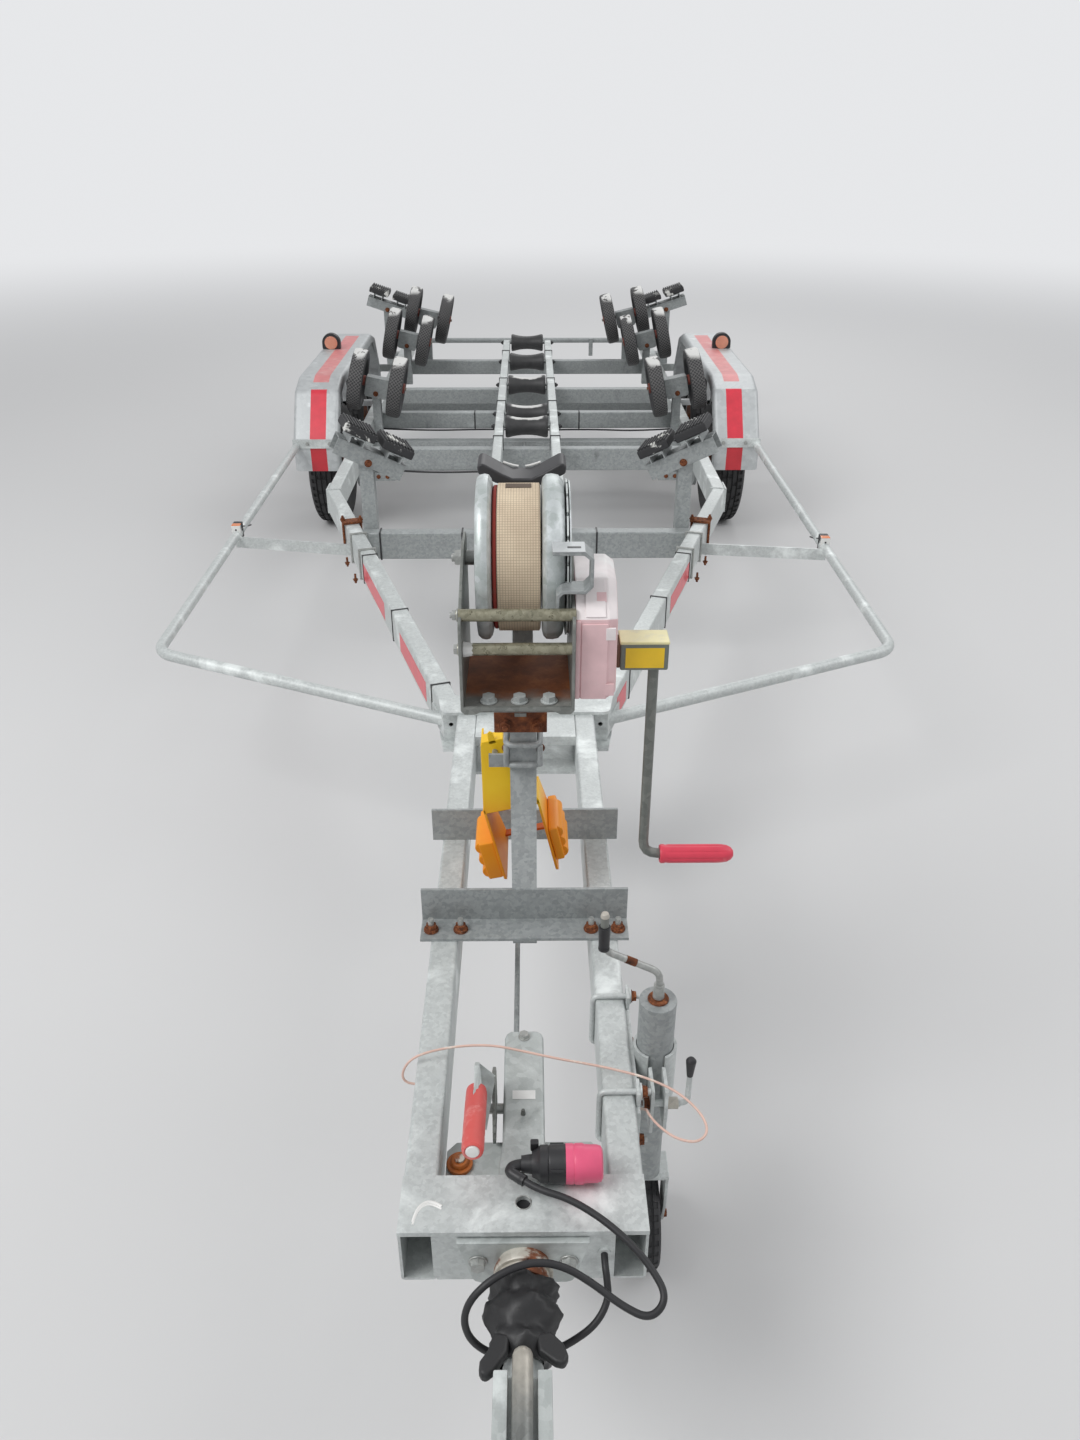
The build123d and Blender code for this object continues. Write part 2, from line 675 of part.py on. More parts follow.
save(lamps.part, "lamps")

# Winch post: a square tube behind the first of two angles across the drawbar
angle_length = 386.0
angle_side = 75.0
angle_thick = 6.0
angle_foot = 62.0
first_angle_end = 1049.0
second_angle_front = 1305.0
post_width = 46.0
post_wall = 4.0
post_below = 60.0
post_top = 1085.0
post_rear = first_angle_end + post_width
hanger_z = 880.0
hanger_height = 26.0
hanger_thick = 5.0
hanger_x = -52.0
peg_radius = 5.0
peg_length = 40.0
with BuildPart() as winch_post:
    with Locations(
        (0, at(first_angle_end - angle_foot / 2), frame_top + angle_thick / 2),
        (0, at(second_angle_front + angle_foot / 2), frame_top + angle_thick / 2),
    ):
        Box(angle_length, angle_foot, angle_thick)
    with Locations(
        (0, at(first_angle_end - angle_thick / 2), frame_top + angle_side / 2),
        (0, at(second_angle_front + angle_thick / 2), frame_top + angle_side / 2),
    ):
        Box(angle_length, angle_thick, angle_side)
    with Locations((0, at(first_angle_end + post_width / 2), (frame_top - post_below + post_top) / 2)):
        Box(post_width, post_width, post_top - frame_top + post_below)
    hanger_end = hanger_x - peg_radius - hanger_thick
    with Locations(((hanger_end + post_width / 2) / 2, at(post_rear + hanger_thick / 2), hanger_z)):
        Box(post_width / 2 - hanger_end, hanger_thick, hanger_height)
    with Locations((hanger_x, at(post_rear + peg_length / 2), hanger_z)):
        Cylinder(peg_radius, peg_length, rotation=(90, 0, 0))
save(winch_post.part, "winch_post")

# Wheel chock: a hollow wedge that hangs on the peg, its lower end swung to the right
chock_lean = radians(13.0)
chock_wall = 5.0
chock_setback = 33.0
chock_above = 20.0
chock_length = 314.0
chock_top_half = 22.0
chock_half = 54.0
chock_shoulder = 125.0
chock_web = 130.0
chock_top_depth = 34.0
chock_depth = 158.0
foot_out = 30.0
foot_length = 84.0
foot_depth = 120.0
chock_station = post_rear + chock_setback
chock_origin = (hanger_x, at(chock_station), hanger_z)
chock_front = Plane(chock_origin, x_dir=(cos(chock_lean), 0, sin(chock_lean)), z_dir=(0, -1, 0))
chock_side = Plane(chock_origin, x_dir=(0, 1, 0), z_dir=(cos(chock_lean), 0, sin(chock_lean)))


def chock_outline(inset, top, low):
    """Half widths of the chock against its height, set in from the outside."""
    return (
        (inset - chock_top_half, top),
        (chock_top_half - inset, top),
        (chock_half - inset, -chock_shoulder),
        (chock_half - inset, low),
        (inset - chock_half, low),
        (inset - chock_half, -chock_shoulder),
    )


with BuildPart() as chock:
    chock_low = chock_above - chock_length
    with BuildSketch(chock_front):
        with BuildLine():
            Polyline(*chock_outline(0, chock_above, chock_low), close=True)
        make_face()
    extrude(amount=-chock_depth)
    with BuildSketch(chock_side):
        with BuildLine():
            Polyline((0, chock_above), (chock_top_depth, chock_above), (chock_depth, chock_low), (0, chock_low), close=True)
        make_face()
    extrude(amount=chock_half, both=True, mode=Mode.INTERSECT)
    with BuildSketch(chock_front.offset(-chock_wall)):
        with BuildLine():
            Polyline(*chock_outline(chock_wall, chock_above - chock_wall, chock_low), close=True)
        make_face()
    extrude(amount=-chock_depth, mode=Mode.SUBTRACT)
    with BuildSketch(chock_front):
        with Locations((0, (chock_low - chock_web) / 2)):
            Rectangle(2 * (chock_half - chock_wall), -chock_low - chock_web)
    extrude(amount=-chock_depth, mode=Mode.SUBTRACT)
    with BuildSketch(chock_side):
        with Locations((foot_depth / 2 + chock_wall, chock_low + foot_length / 2)):
            RectangleRounded(foot_depth, foot_length, 15)
    extrude(amount=chock_half + foot_out, both=True)
    with BuildSketch(chock_front):
        with Locations((0, chock_low + foot_length / 2)):
            Rectangle(2 * (chock_half - chock_wall), 2 * foot_length)
    extrude(amount=-chock_depth, mode=Mode.SUBTRACT)
    with BuildSketch(chock_front):
        Circle(peg_radius + rest_gap)
    extrude(amount=-chock_wall, mode=Mode.SUBTRACT)
save(chock.part, "chock")

# Winch frame: a channel on the post, two side plates, two rods and the drum's shaft
winch_x = -6.5
winch_half = 87.5
winch_plate = 5.0
winch_base = 6.0
winch_front = 900.0
winch_rear = 1130.0
drum_station = 1083.0
drum_z = 1270.0
drum_radius = 131.0
drum_shaft_radius = 12.0
cross_rod_radius = 9.5
cross_rod_station = 925.0
cross_rod_heights = (1222.0, 1165.0)
front_lip = 22.0
plate_half = 40.0
plate_above = 35.0
with BuildPart() as winch_frame:
    with Locations((winch_x, at((winch_front + winch_rear) / 2), post_top + winch_base / 2)):
        Box(2 * winch_half, winch_rear - winch_front, winch_base)
    with Locations((winch_x, at(winch_front + winch_base / 2), post_top + winch_base - front_lip / 2)):
        Box(2 * winch_half, winch_base, front_lip)
    for side_name, side in sides:
        with BuildSketch(Plane.YZ.offset(winch_x + side * (winch_half - winch_plate / 2))):
            with BuildLine():
                Polyline(
                    (at(winch_front), post_top),
                    (at(winch_front), cross_rod_heights[1] + plate_half),
                    (at(drum_station - plate_half), drum_z + plate_above),
                    (at(drum_station + plate_half), drum_z + plate_above),
                    (at(winch_rear), drum_z - 2 * plate_half),
                    (at(winch_rear), post_top),
                    close=True,
                )
            make_face()
        extrude(amount=winch_plate / 2, both=True)
    for rod_z in cross_rod_heights:
        with Locations((winch_x, at(cross_rod_station), rod_z)):
            Cylinder(cross_rod_radius, 2 * winch_half, rotation=(0, 90, 0))
    with Locations((winch_x, at(drum_station), drum_z)):
        Cylinder(drum_shaft_radius, 2 * winch_half, rotation=(0, 90, 0))
save(winch_frame.part, "winch_frame")

# Winch drum: two wide flanges on a core, and the strap wound between them
Flange = namedtuple("Flange", "x width")
left_flange_offset = 51.0
right_flange_offset = 56.5
left_flange = Flange(winch_x - left_flange_offset, 25.0)
right_flange = Flange(winch_x + right_flange_offset, 36.0)
core_radius = 45.0
strap_radius = 117.0
strap_offset = 2.5
strap_x = winch_x + strap_offset
strap_width = 68.0
with BuildPart() as winch_drum:
    for flange in (left_flange, right_flange):
        with Locations((flange.x, at(drum_station), drum_z)):
            Cylinder(drum_radius, flange.width, rotation=(0, 90, 0))
    core_start = left_flange.x
    core_end = right_flange.x
    with Locations(((core_start + core_end) / 2, at(drum_station), drum_z)):
        Cylinder(core_radius, core_end - core_start, rotation=(0, 90, 0))
    drum_start_x = left_flange.x - left_flange.width / 2
    drum_end_x = right_flange.x + right_flange.width / 2
    with Locations(((drum_start_x + drum_end_x) / 2, at(drum_station), drum_z)):
        Cylinder(drum_shaft_radius + pin_fit, drum_end_x - drum_start_x, rotation=(0, 90, 0), mode=Mode.SUBTRACT)
save(winch_drum.part, "winch_drum")

with BuildPart() as winch_strap:
    with Locations((strap_x, at(drum_station), drum_z)):
        Cylinder(strap_radius, strap_width, rotation=(0, 90, 0))
        Cylinder(core_radius, strap_width, rotation=(0, 90, 0), mode=Mode.SUBTRACT)
save(winch_strap.part, "winch_strap")

# Gear cover on the right side plate, and the crank whose shaft runs in it
crank_station = 970.0
crank_z = 1160.0
crank_shaft_radius = 9.0
cover_width = 64.0
cover_taper = 12.0
cover_face = winch_x + winch_half
cover_outline = ((-52, -60), (-52, 55), (30, 130), (140, 130), (195, 60), (195, -30), (160, -60))
with BuildPart() as gear_cover:
    with BuildSketch(Plane.YZ.offset(cover_face)):
        with BuildLine():
            Polyline(*[(at(crank_station) + y, crank_z + z) for y, z in cover_outline], close=True)
        make_face()
    extrude(amount=cover_width)
    chamfer(gear_cover.faces().sort_by(Axis.X)[-1].edges(), cover_taper)
    with Locations((cover_face + cover_width / 2, at(crank_station), crank_z)):
        Cylinder(crank_shaft_radius + pin_fit, cover_width, rotation=(0, 90, 0), mode=Mode.SUBTRACT)
save(gear_cover.part, "gear_cover")

crank_shaft_start = cover_face + cover_width / 2
crank_hub_width = 78.0
crank_hub_gap = 4.0
crank_hub_x = cover_face + cover_width + crank_hub_gap + crank_hub_width / 2
crank_hub_depth = 47.0
crank_hub_height = 49.0
crank_arm_offset = 19.0
crank_arm_x = crank_hub_x + crank_arm_offset
crank_arm_thick = 20.0
crank_arm_width = 14.0
crank_reach = 394.0
crank_grip_radius = 17.0
crank_grip_length = 158.0
with BuildPart() as winch_crank:
    with Locations(((crank_shaft_start + crank_hub_x) / 2, at(crank_station), crank_z)):
        Cylinder(crank_shaft_radius, crank_hub_x - crank_shaft_start, rotation=(0, 90, 0))
    with Locations((crank_hub_x, at(crank_station), crank_z)):
        Box(crank_hub_width, crank_hub_depth, crank_hub_height)
    with Locations((crank_arm_x, at(crank_station), crank_z - crank_reach / 2)):
        Box(crank_arm_thick, crank_arm_width, crank_reach)
    grip_x = crank_arm_x + crank_grip_length / 2
    with Locations((grip_x, at(crank_station), crank_z - crank_reach)):
        Cylinder(crank_grip_radius, crank_grip_length, rotation=(0, 90, 0))
save(winch_crank.part, "winch_crank")

# Bow stop: a rubber V on an arm that leans rearward from the post
stop_half = 76.0
stop_base_half = 30.0
stop_low = 1330.0
stop_wing = 1360.0
stop_top = 1385.0
stop_valley = 1352.0
stop_front = 1260.0
stop_depth = 70.0
stop_arm_low = 960.0
stop_arm_high = 1015.0
stop_arm_width = 36.0
stop_arm_front = 1275.0
stop_arm_depth = 40.0
with BuildPart() as bow_stop:
    with BuildSketch(Plane.XZ.offset(-at(stop_front + stop_depth))):
        with BuildLine():
            Polyline(
                (-stop_half, stop_top),
                (-stop_half, stop_wing),
                (-stop_base_half, stop_low),
                (stop_base_half, stop_low),
                (stop_half, stop_wing),
                (stop_half, stop_top),
                (0, stop_valley),
                close=True,
            )
        make_face()
    extrude(amount=stop_depth)
    with BuildSketch(Plane.YZ):
        with BuildLine():
            Polyline(
                (at(post_rear), stop_arm_low),
                (at(post_rear), stop_arm_high),
                (at(stop_arm_front), stop_low),
                (at(stop_arm_front + stop_arm_depth), stop_low),
                (at(post_rear + stop_arm_depth), stop_arm_low + stop_arm_depth),
                close=True,
            )
        make_face()
    extrude(amount=stop_arm_width / 2, both=True)
save(bow_stop.part, "bow_stop")

# Overrun device between the rails: body, neck through the web, flange, foot, lever pin and sector
housing_width = 64.0
housing_height = 96.0
neck_front = 345.0
flange_thick = 10.0
flange_half_height = 44.0
flange_half_top = 92.0
flange_half_bottom = 70.0
foot_thick = 8.0
foot_start = 470.0
foot_end = 560.0
foot_side_gap = 3.0
cap_x = -92.0
cap_station = 490.0
cap_radius = 19.0
cap_height = 20.0
draw_tube_radius = 25.0
draw_tube_end = 600.0
lever_x = -70.0
lever_thick = 8.0
lever_pivot_station = 620.0
lever_pivot_z = 535.0
lever_pin_radius = 8.0
sector_thick = 5.0
sector_outline = ((30, -22), (25, 60), (-25, 95), (-60, 50), (-45, -22))
sector_x = -45.0
lug_drop = 30.0
lug_length = 30.0
lug_half = 8.0
with BuildPart() as overrun_housing:
    housing_start = drawbar_front + plate
    with Locations((draw_x, at((housing_start + housing_rear) / 2), draw_z)):
        Box(housing_width, housing_rear - housing_start, housing_height)
    with Locations((draw_x, at((neck_front + housing_start) / 2), draw_z)):
        Cylinder(neck_radius, housing_start - neck_front, rotation=(90, 0, 0))
    with BuildSketch(Plane.XZ.offset(-at(drawbar_front))):
        with BuildLine():
            Polyline(
                (draw_x - flange_half_bottom, draw_z - flange_half_height),
                (draw_x - flange_half_top, draw_z + flange_half_height),
                (draw_x + flange_half_top, draw_z + flange_half_height),
                (draw_x + flange_half_bottom, draw_z - flange_half_height),
                close=True,
            )
        make_face()
    extrude(amount=flange_thick)
    foot_half = drawbar_inner - foot_side_gap
    with Locations((0, at((foot_start + foot_end) / 2), draw_z - foot_thick / 2)):
        Box(2 * foot_half, foot_end - foot_start, foot_thick)
    with Locations((cap_x, at(cap_station), draw_z + cap_height / 2)):
        Cylinder(cap_radius, cap_height)
    pin_start = draw_x - housing_width / 2
    pin_stop = lever_x - lever_thick
    with Locations(((pin_start + pin_stop) / 2, at(lever_pivot_station), lever_pivot_z)):
        Cylinder(lever_pin_radius, pin_start - pin_stop, rotation=(0, 90, 0))
    with BuildSketch(Plane.YZ.offset(sector_x)):
        with BuildLine():
            Polyline(
                *[(at(lever_pivot_station) + y, lever_pivot_z + z) for y, z in sector_outline],
                close=True,
            )
        make_face()
    extrude(amount=sector_thick / 2, both=True)
    with Locations((brake_rod_x, at(housing_rear - lug_length / 2), draw_z - housing_height / 2 - lug_drop / 2)):
        Box(2 * lug_half, lug_length, lug_drop)
    with Locations((draw_x, at((neck_front + draw_tube_end) / 2), draw_z)):
        Cylinder(draw_tube_radius + pin_fit, draw_tube_end - neck_front, rotation=(90, 0, 0), mode=Mode.SUBTRACT)
save(overrun_housing.part, "overrun_housing")

# Coupling: the draw tube, the head with its ball socket, and the walls between which the handle lies
ball_radius = 25.0
ball_station = 60.0
head_length = 210.0
head_width = 72.0
head_low = 45.0
head_high = 55.0
tube_into_head = 20.0
handle_radius = 13.0
handle_length = 170.0
handle_station = 60.0
handle_side_gap = 5.0
handle_rise = 57.0
handle_pin_radius = 5.0
handle_hub_radius = 12.0
with BuildPart() as coupling_body:
    tube_start = head_length - tube_into_head
    with Locations((draw_x, at((tube_start + draw_tube_end) / 2), draw_z)):
        Cylinder(draw_tube_radius, draw_tube_end - tube_start, rotation=(90, 0, 0))
    with Locations((draw_x, at(head_length / 2), draw_z + (head_high - head_low) / 2)):
        Box(head_width, head_length, head_high + head_low)
    groove_low = handle_rise - handle_radius - handle_side_gap
    with Locations((draw_x, at(head_length / 2), draw_z + (groove_low + head_high) / 2)):
        Box(2 * (handle_radius + handle_side_gap), head_length, head_high - groove_low, mode=Mode.SUBTRACT)
    for side_name, side in sides:
        ear_x = draw_x + side * (handle_radius + handle_side_gap + 4)
        with Locations((ear_x, at(handle_station), draw_z + handle_rise)):
            Box(8, 2 * handle_hub_radius, 2 * handle_hub_radius)
    with Locations((draw_x, at(handle_station), draw_z + handle_rise)):
        Cylinder(handle_pin_radius, 2 * (handle_radius + handle_side_gap) + 8, rotation=(0, 90, 0))
    with Locations((draw_x, at(ball_station), draw_z - head_low)):
        Sphere(ball_radius + rest_gap, mode=Mode.SUBTRACT)
save(coupling_body.part, "coupling_body")

with BuildPart() as coupling_handle:
    with Locations((draw_x, at(handle_station + handle_length / 2), draw_z + handle_rise)):
        Cylinder(handle_radius, handle_length, rotation=(90, 0, 0))
    with Locations((draw_x, at(handle_station), draw_z + handle_rise)):
        Cylinder(handle_hub_radius, 2 * handle_radius, rotation=(0, 90, 0))
        Cylinder(handle_pin_radius + pin_fit, 2 * handle_radius, rotation=(0, 90, 0), mode=Mode.SUBTRACT)
save(coupling_handle.part, "coupling_handle")

# Bellows between the head and the neck, torn and lumpy
bellows_start = 238.0
bellows_folds = ((0.0, 34.0), (0.2, 48.0), (0.38, 42.0), (0.58, 54.0), (0.78, 44.0), (1.0, 49.0))
with BuildPart() as bellows:
    with BuildSketch(Plane.XY.offset(draw_z)):
        with BuildLine():
            bellows_length = neck_front - bellows_start
            bore_x = draw_x + draw_tube_radius
            folds = [(draw_x + radius, at(bellows_start + share * bellows_length)) for share, radius in bellows_folds]
            Polyline((bore_x, at(bellows_start)), *folds, (bore_x, at(neck_front)), close=True)
        make_face()
    revolve(axis=Axis((draw_x, 0, draw_z), (0, 1, 0)))
save(bellows.part, "bellows")

# Handbrake lever on the housing's pin, its grip towards the coupling
lever_hub_radius = 20.0
lever_grip_radius = 16.0
lever_arm = ((-18, 10), (18, 10), (-30, 92), (-62, 85))
grip_rise = 82.0
grip_setback = 35.0
grip_length = 130.0
grip_slope = 23.0
grip_start = (lever_pivot_station - grip_setback, lever_pivot_z + grip_rise)
grip_stop = (grip_start[0] - grip_length, grip_start[1] + grip_slope)
with BuildPart() as brake_lever:
    with BuildSketch(Plane.YZ.offset(lever_x)):
        with BuildLine():
            Polyline(*[(at(lever_pivot_station) + y, lever_pivot_z + z) for y, z in lever_arm], close=True)
        make_face()
        with Locations((at(lever_pivot_station), lever_pivot_z)):
            Circle(lever_hub_radius)
            Circle(lever_pin_radius + pin_fit, mode=Mode.SUBTRACT)
    extrude(amount=lever_thick / 2, both=True)
    with BuildLine() as grip_line:
        Line((lever_x, at(grip_start[0]), grip_start[1]), (lever_x, at(grip_stop[0]), grip_stop[1]))
    with BuildSketch(Plane(grip_line.line @ 0, z_dir=grip_line.line % 0)):
        Circle(lever_grip_radius)
    sweep()
save(brake_lever.part, "brake_lever")

# Jack on the right rail: bracket, clamp with its screw, tube, leg, crank, fork and wheel
jack_x = 215.0
jack_station = 730.0
jack_radius = 30.0
leg_radius = 24.0
leg_bore_radius = 14.0
jack_bottom = 380.0
jack_top = 650.0
jack_cap = 10.0
leg_bottom = 250.0
leg_top = 500.0
bracket_length = 260.0
bracket_height = 80.0
clamp_wall = 8.0
clamp_height = 110.0
clamp_screw_station = 655.0
clamp_ear_gap = 12.0
clamp_screw_radius = 6.0
clamp_screw_end = 262.0
clamp_lever_top = 600.0
crank_rod_radius = 6.0
crank_rod_low = 560.0
crank_rod_high = 712.0
crank_grip_low = 761.0
crank_grip_high = 835.0
crank_swing = 90.0
with BuildPart() as jack_tube:
    with Locations((jack_x, at(jack_station), frame_middle)):
        Cylinder(jack_radius + clamp_wall, clamp_height)
    ear_start = clamp_screw_station - 15
    ear_end = jack_station - leg_radius
    for side_name, side in sides:
        ear_x = jack_x + side * (clamp_ear_gap / 2 + clamp_wall / 2)
        with Locations((ear_x, at((ear_start + ear_end) / 2), frame_middle - 15)):
            Box(clamp_wall, ear_end - ear_start, clamp_height - 30)
    with Locations((drawbar_width / 2 + clamp_wall / 2, at(jack_station), frame_middle)):
        Box(clamp_wall, bracket_length, bracket_height)
    screw_start = jack_x - clamp_ear_gap / 2 - 2 * clamp_wall
    with Locations(((screw_start + clamp_screw_end) / 2, at(clamp_screw_station), frame_middle)):
        Cylinder(clamp_screw_radius, clamp_screw_end - screw_start, rotation=(0, 90, 0))
    with Locations((clamp_screw_end, at(clamp_screw_station), (frame_middle + clamp_lever_top) / 2)):
        Cylinder(clamp_screw_radius, clamp_lever_top - frame_middle)
    with Locations((jack_x, at(jack_station), (jack_bottom + jack_top) / 2)):
        Cylinder(jack_radius, jack_top - jack_bottom)
        Cylinder(leg_radius + pin_fit, jack_top - jack_bottom, mode=Mode.SUBTRACT)
    with Locations((jack_x, at(jack_station), jack_top + jack_cap / 2)):
        Cylinder(jack_radius, jack_cap)
        Cylinder(crank_rod_radius + pin_fit, jack_cap, mode=Mode.SUBTRACT)
save(jack_tube.part, "jack_tube")

with BuildPart() as jack_leg:
    with Locations((jack_x, at(jack_station), (leg_bottom + leg_top) / 2)):
        Cylinder(leg_radius, leg_top - leg_bottom)
    leg_bore = 180.0
    with Locations((jack_x, at(jack_station), leg_top - leg_bore / 2)):
        Cylinder(leg_bore_radius, leg_bore, mode=Mode.SUBTRACT)
save(jack_leg.part, "jack_leg")

with BuildPart() as jack_crank:
    with Locations((jack_x, at(jack_station), (crank_rod_low + crank_rod_high) / 2)):
        Cylinder(crank_rod_radius, crank_rod_high - crank_rod_low)
    with BuildSketch(Plane.XZ.offset(-at(jack_station))):
        with BuildLine():
            Polyline(
                (jack_x - crank_rod_radius, crank_rod_high - 12),
                (jack_x + crank_rod_radius, crank_rod_high),
                (jack_x - crank_swing + crank_rod_radius, crank_grip_low + 14),
                (jack_x - crank_swing - crank_rod_radius, crank_grip_low + 5),
                close=True,
            )
        make_face()
    extrude(amount=crank_rod_radius, both=True)
    with Locations((jack_x - crank_swing, at(jack_station), (crank_grip_low + crank_grip_high) / 2)):
        Cylinder(10, crank_grip_high - crank_grip_low)
save(jack_crank.part, "jack_crank")

jockey_radius = 100.0
jockey_width = 56.0
jockey_trail = 20.0
jockey_edge = 12.0
fork_crown = 10.0
fork_plate = 6.0
fork_gap = 6.0
fork_depth = 50.0
fork_low = 85.0
jockey_axle_radius = 8.0
with BuildPart() as jack_fork:
    with Locations((jack_x, at(jack_station + jockey_trail / 2), leg_bottom - fork_crown / 2)):
        Box(jockey_width + 2 * (fork_gap + fork_plate), fork_depth + 10, fork_crown)
    fork_x = jockey_width / 2 + fork_gap + fork_plate / 2
    fork_z = (fork_low + leg_bottom) / 2
    for side_name, side in sides:
        with Locations((jack_x + side * fork_x, at(jack_station + jockey_trail / 2), fork_z)):
            Box(fork_plate, fork_depth, leg_bottom - fork_low)
    with Locations((jack_x, at(jack_station + jockey_trail), jockey_radius)):
        Cylinder(jockey_axle_radius, 2 * (fork_x + fork_plate), rotation=(0, 90, 0))
save(jack_fork.part, "jack_fork")

with BuildPart() as jockey_wheel:
    with Locations((jack_x, at(jack_station + jockey_trail), jockey_radius)):
        Cylinder(jockey_radius, jockey_width, rotation=(0, 90, 0))
    chamfer(jockey_wheel.edges().filter_by(GeomType.CIRCLE), jockey_edge)
    with Locations((jack_x, at(jack_station + jockey_trail), jockey_radius)):
        Cylinder(jockey_axle_radius + pin_fit, jockey_width, rotation=(0, 90, 0), mode=Mode.SUBTRACT)
save(jockey_wheel.part, "jockey_wheel")

# Plug, lying across the front plate, with its elbow for the cable
plug_radius = 28.0
plug_left = 12.0
plug_right = 113.0
plug_station = 474.0
plug_z = frame_top + plate + plug_radius + rest_gap
gland_radius = 13.0
gland_length = 30.0
elbow_radius = 8.0
elbow_length = 30.0
elbow_end = (2.0, 446.0)
elbow_turn = radians(-36.0)
with BuildPart() as plug:
    with Locations(((plug_left + plug_right) / 2, at(plug_station), plug_z)):
        Cylinder(plug_radius, plug_right - plug_left, rotation=(0, 90, 0))
    with Locations((plug_left - gland_length / 2, at(plug_station), plug_z)):
        Cylinder(gland_radius, gland_length, rotation=(0, 90, 0))
    elbow_start = (
        elbow_end[0] - elbow_length * cos(elbow_turn),
        elbow_end[1] - elbow_length * sin(elbow_turn),
    )
    with BuildLine() as elbow_line:
        Line((elbow_start[0], at(elbow_start[1]), plug_z), (elbow_end[0], at(elbow_end[1]), plug_z))
    with BuildSketch(Plane(elbow_line.line @ 0, z_dir=elbow_line.line % 0)):
        Circle(elbow_radius)
    sweep()
save(plug.part, "plug")


def cord_tube(name, radius, points):
    """A tube along straight runs joined by arcs as large as the runs allow, for points of x, station and z."""
    route = [Vector(x, at(station), z) for x, station, z in points]
    radii = []
    for before, here, after in zip(route, route[1:], route[2:]):
        into = here - before
        out = after - here
        half_turn = radians(into.get_angle(out)) / 2
        radii.append(0.45 * min(into.length, out.length) / tan(half_turn))
    with BuildPart() as cord:
        with BuildLine() as line:
            FilletPolyline(*route, radius=radii)
        with BuildSketch(Plane(line.line @ 0, z_dir=line.line % 0)):
            Circle(radius)
        sweep()
    print(name, "radii", [round(value) for value in radii])
    filled = cord.part.volume / (pi * radius**2 * line.wires()[0].length)
    print(name, "volume over section times length", round(filled, 3))
    save(cord.part, name)


# Power cable: over the front plate, a loop ahead of it, over and round the bellows, and in at the web
cable_radius = 5.0
power_points = (
    (elbow_end[0], elbow_end[1], plug_z),
    (elbow_end[0] + 24 * cos(elbow_turn), elbow_end[1] + 24 * sin(elbow_turn), plug_z),
    (60.0, 420.0, 590.0),
    (102.0, 397.0, 583.0),
    (140.0, 367.0, 574.0),
    (170.0, 338.0, 558.0),
    (190.0, 306.0, 541.0),
    (166.0, 282.0, 531.0),
    (130.0, 299.0, 534.0),
    (94.0, 322.0, 546.0),
    (54.0, 338.0, 562.0),
    (16.0, 339.0, 570.0),
    (-18.0, 329.0, 570.0),
    (-50.0, 313.0, 562.0),
    (-73.0, 301.0, 539.0),
    (-79.0, 294.0, 506.0),
    (-67.0, 289.0, 471.0),
    (-36.0, 285.0, 448.0),
    (0.0, 283.0, 443.0),
    (33.0, 287.0, 450.0),
    (66.0, 299.0, 456.0),
    (98.0, 315.0, 468.0),
    (116.0, 337.0, 488.0),
    (grommet_x + 2, 357.0, 505.0),
    (grommet_x, 371.0, grommet_z),
    (grommet_x, drawbar_front - grommet_length, grommet_z),
)
cord_tube("power_cable", cable_radius, power_points)

# Breakaway cable: round the left rail, across the housing, a loop over the jack's clamp, and back to its bracket
breakaway_radius = 2.0
breakaway_points = (
    (-drawbar_width / 2, 684.0, 520.0),
    (-189.0, 684.0, 520.0),
    (-199.0, 686.0, 538.0),
    (-184.0, 693.0, 567.0),
    (-148.0, 703.0, 575.0),
    (-100.0, 711.0, 577.0),
    (-50.0, 709.0, 580.0),
    (0.0, 696.0, 579.0),
    (50.0, 684.0, 576.0),
    (100.0, 675.0, 573.0),
    (150.0, 663.0, 571.0),
    (198.0, 646.0, 570.0),
    (240.0, 622.0, 567.0),
    (270.0, 588.0, 562.0),
    (279.0, 556.0, 558.0),
    (260.0, 536.0, 556.0),
    (228.0, 545.0, 554.0),
    (204.0, 572.0, 551.0),
    (193.0, 602.0, 541.0),
    (192.0, 622.0, 530.0),
    (drawbar_width / 2 + clamp_wall, 622.0, 530.0),
)
cord_tube("breakaway_cable", breakaway_radius, breakaway_points)
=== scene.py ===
import math

import bmesh
import bpy
from mathutils import Matrix, Vector


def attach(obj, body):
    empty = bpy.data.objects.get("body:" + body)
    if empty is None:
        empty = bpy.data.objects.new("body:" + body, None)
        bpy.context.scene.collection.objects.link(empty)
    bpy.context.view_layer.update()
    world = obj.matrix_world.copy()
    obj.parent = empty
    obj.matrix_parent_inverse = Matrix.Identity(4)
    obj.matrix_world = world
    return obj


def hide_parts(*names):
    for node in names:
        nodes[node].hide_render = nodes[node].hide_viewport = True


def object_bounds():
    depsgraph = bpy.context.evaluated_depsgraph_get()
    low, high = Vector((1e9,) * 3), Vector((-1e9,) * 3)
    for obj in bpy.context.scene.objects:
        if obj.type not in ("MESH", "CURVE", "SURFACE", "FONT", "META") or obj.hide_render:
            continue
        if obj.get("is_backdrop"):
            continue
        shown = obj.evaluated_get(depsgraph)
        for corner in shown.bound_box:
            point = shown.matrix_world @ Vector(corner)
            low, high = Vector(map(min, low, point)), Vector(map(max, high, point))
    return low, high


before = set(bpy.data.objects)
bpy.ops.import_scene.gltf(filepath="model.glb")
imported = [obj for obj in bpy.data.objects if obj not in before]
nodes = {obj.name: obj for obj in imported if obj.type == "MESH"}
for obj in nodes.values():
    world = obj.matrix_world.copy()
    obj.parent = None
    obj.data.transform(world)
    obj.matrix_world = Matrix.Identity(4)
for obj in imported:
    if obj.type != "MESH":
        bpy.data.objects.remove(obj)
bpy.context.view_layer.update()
halfLength = 3475
sides = (("left", -1), ("right", 1))
print("frame loaded")

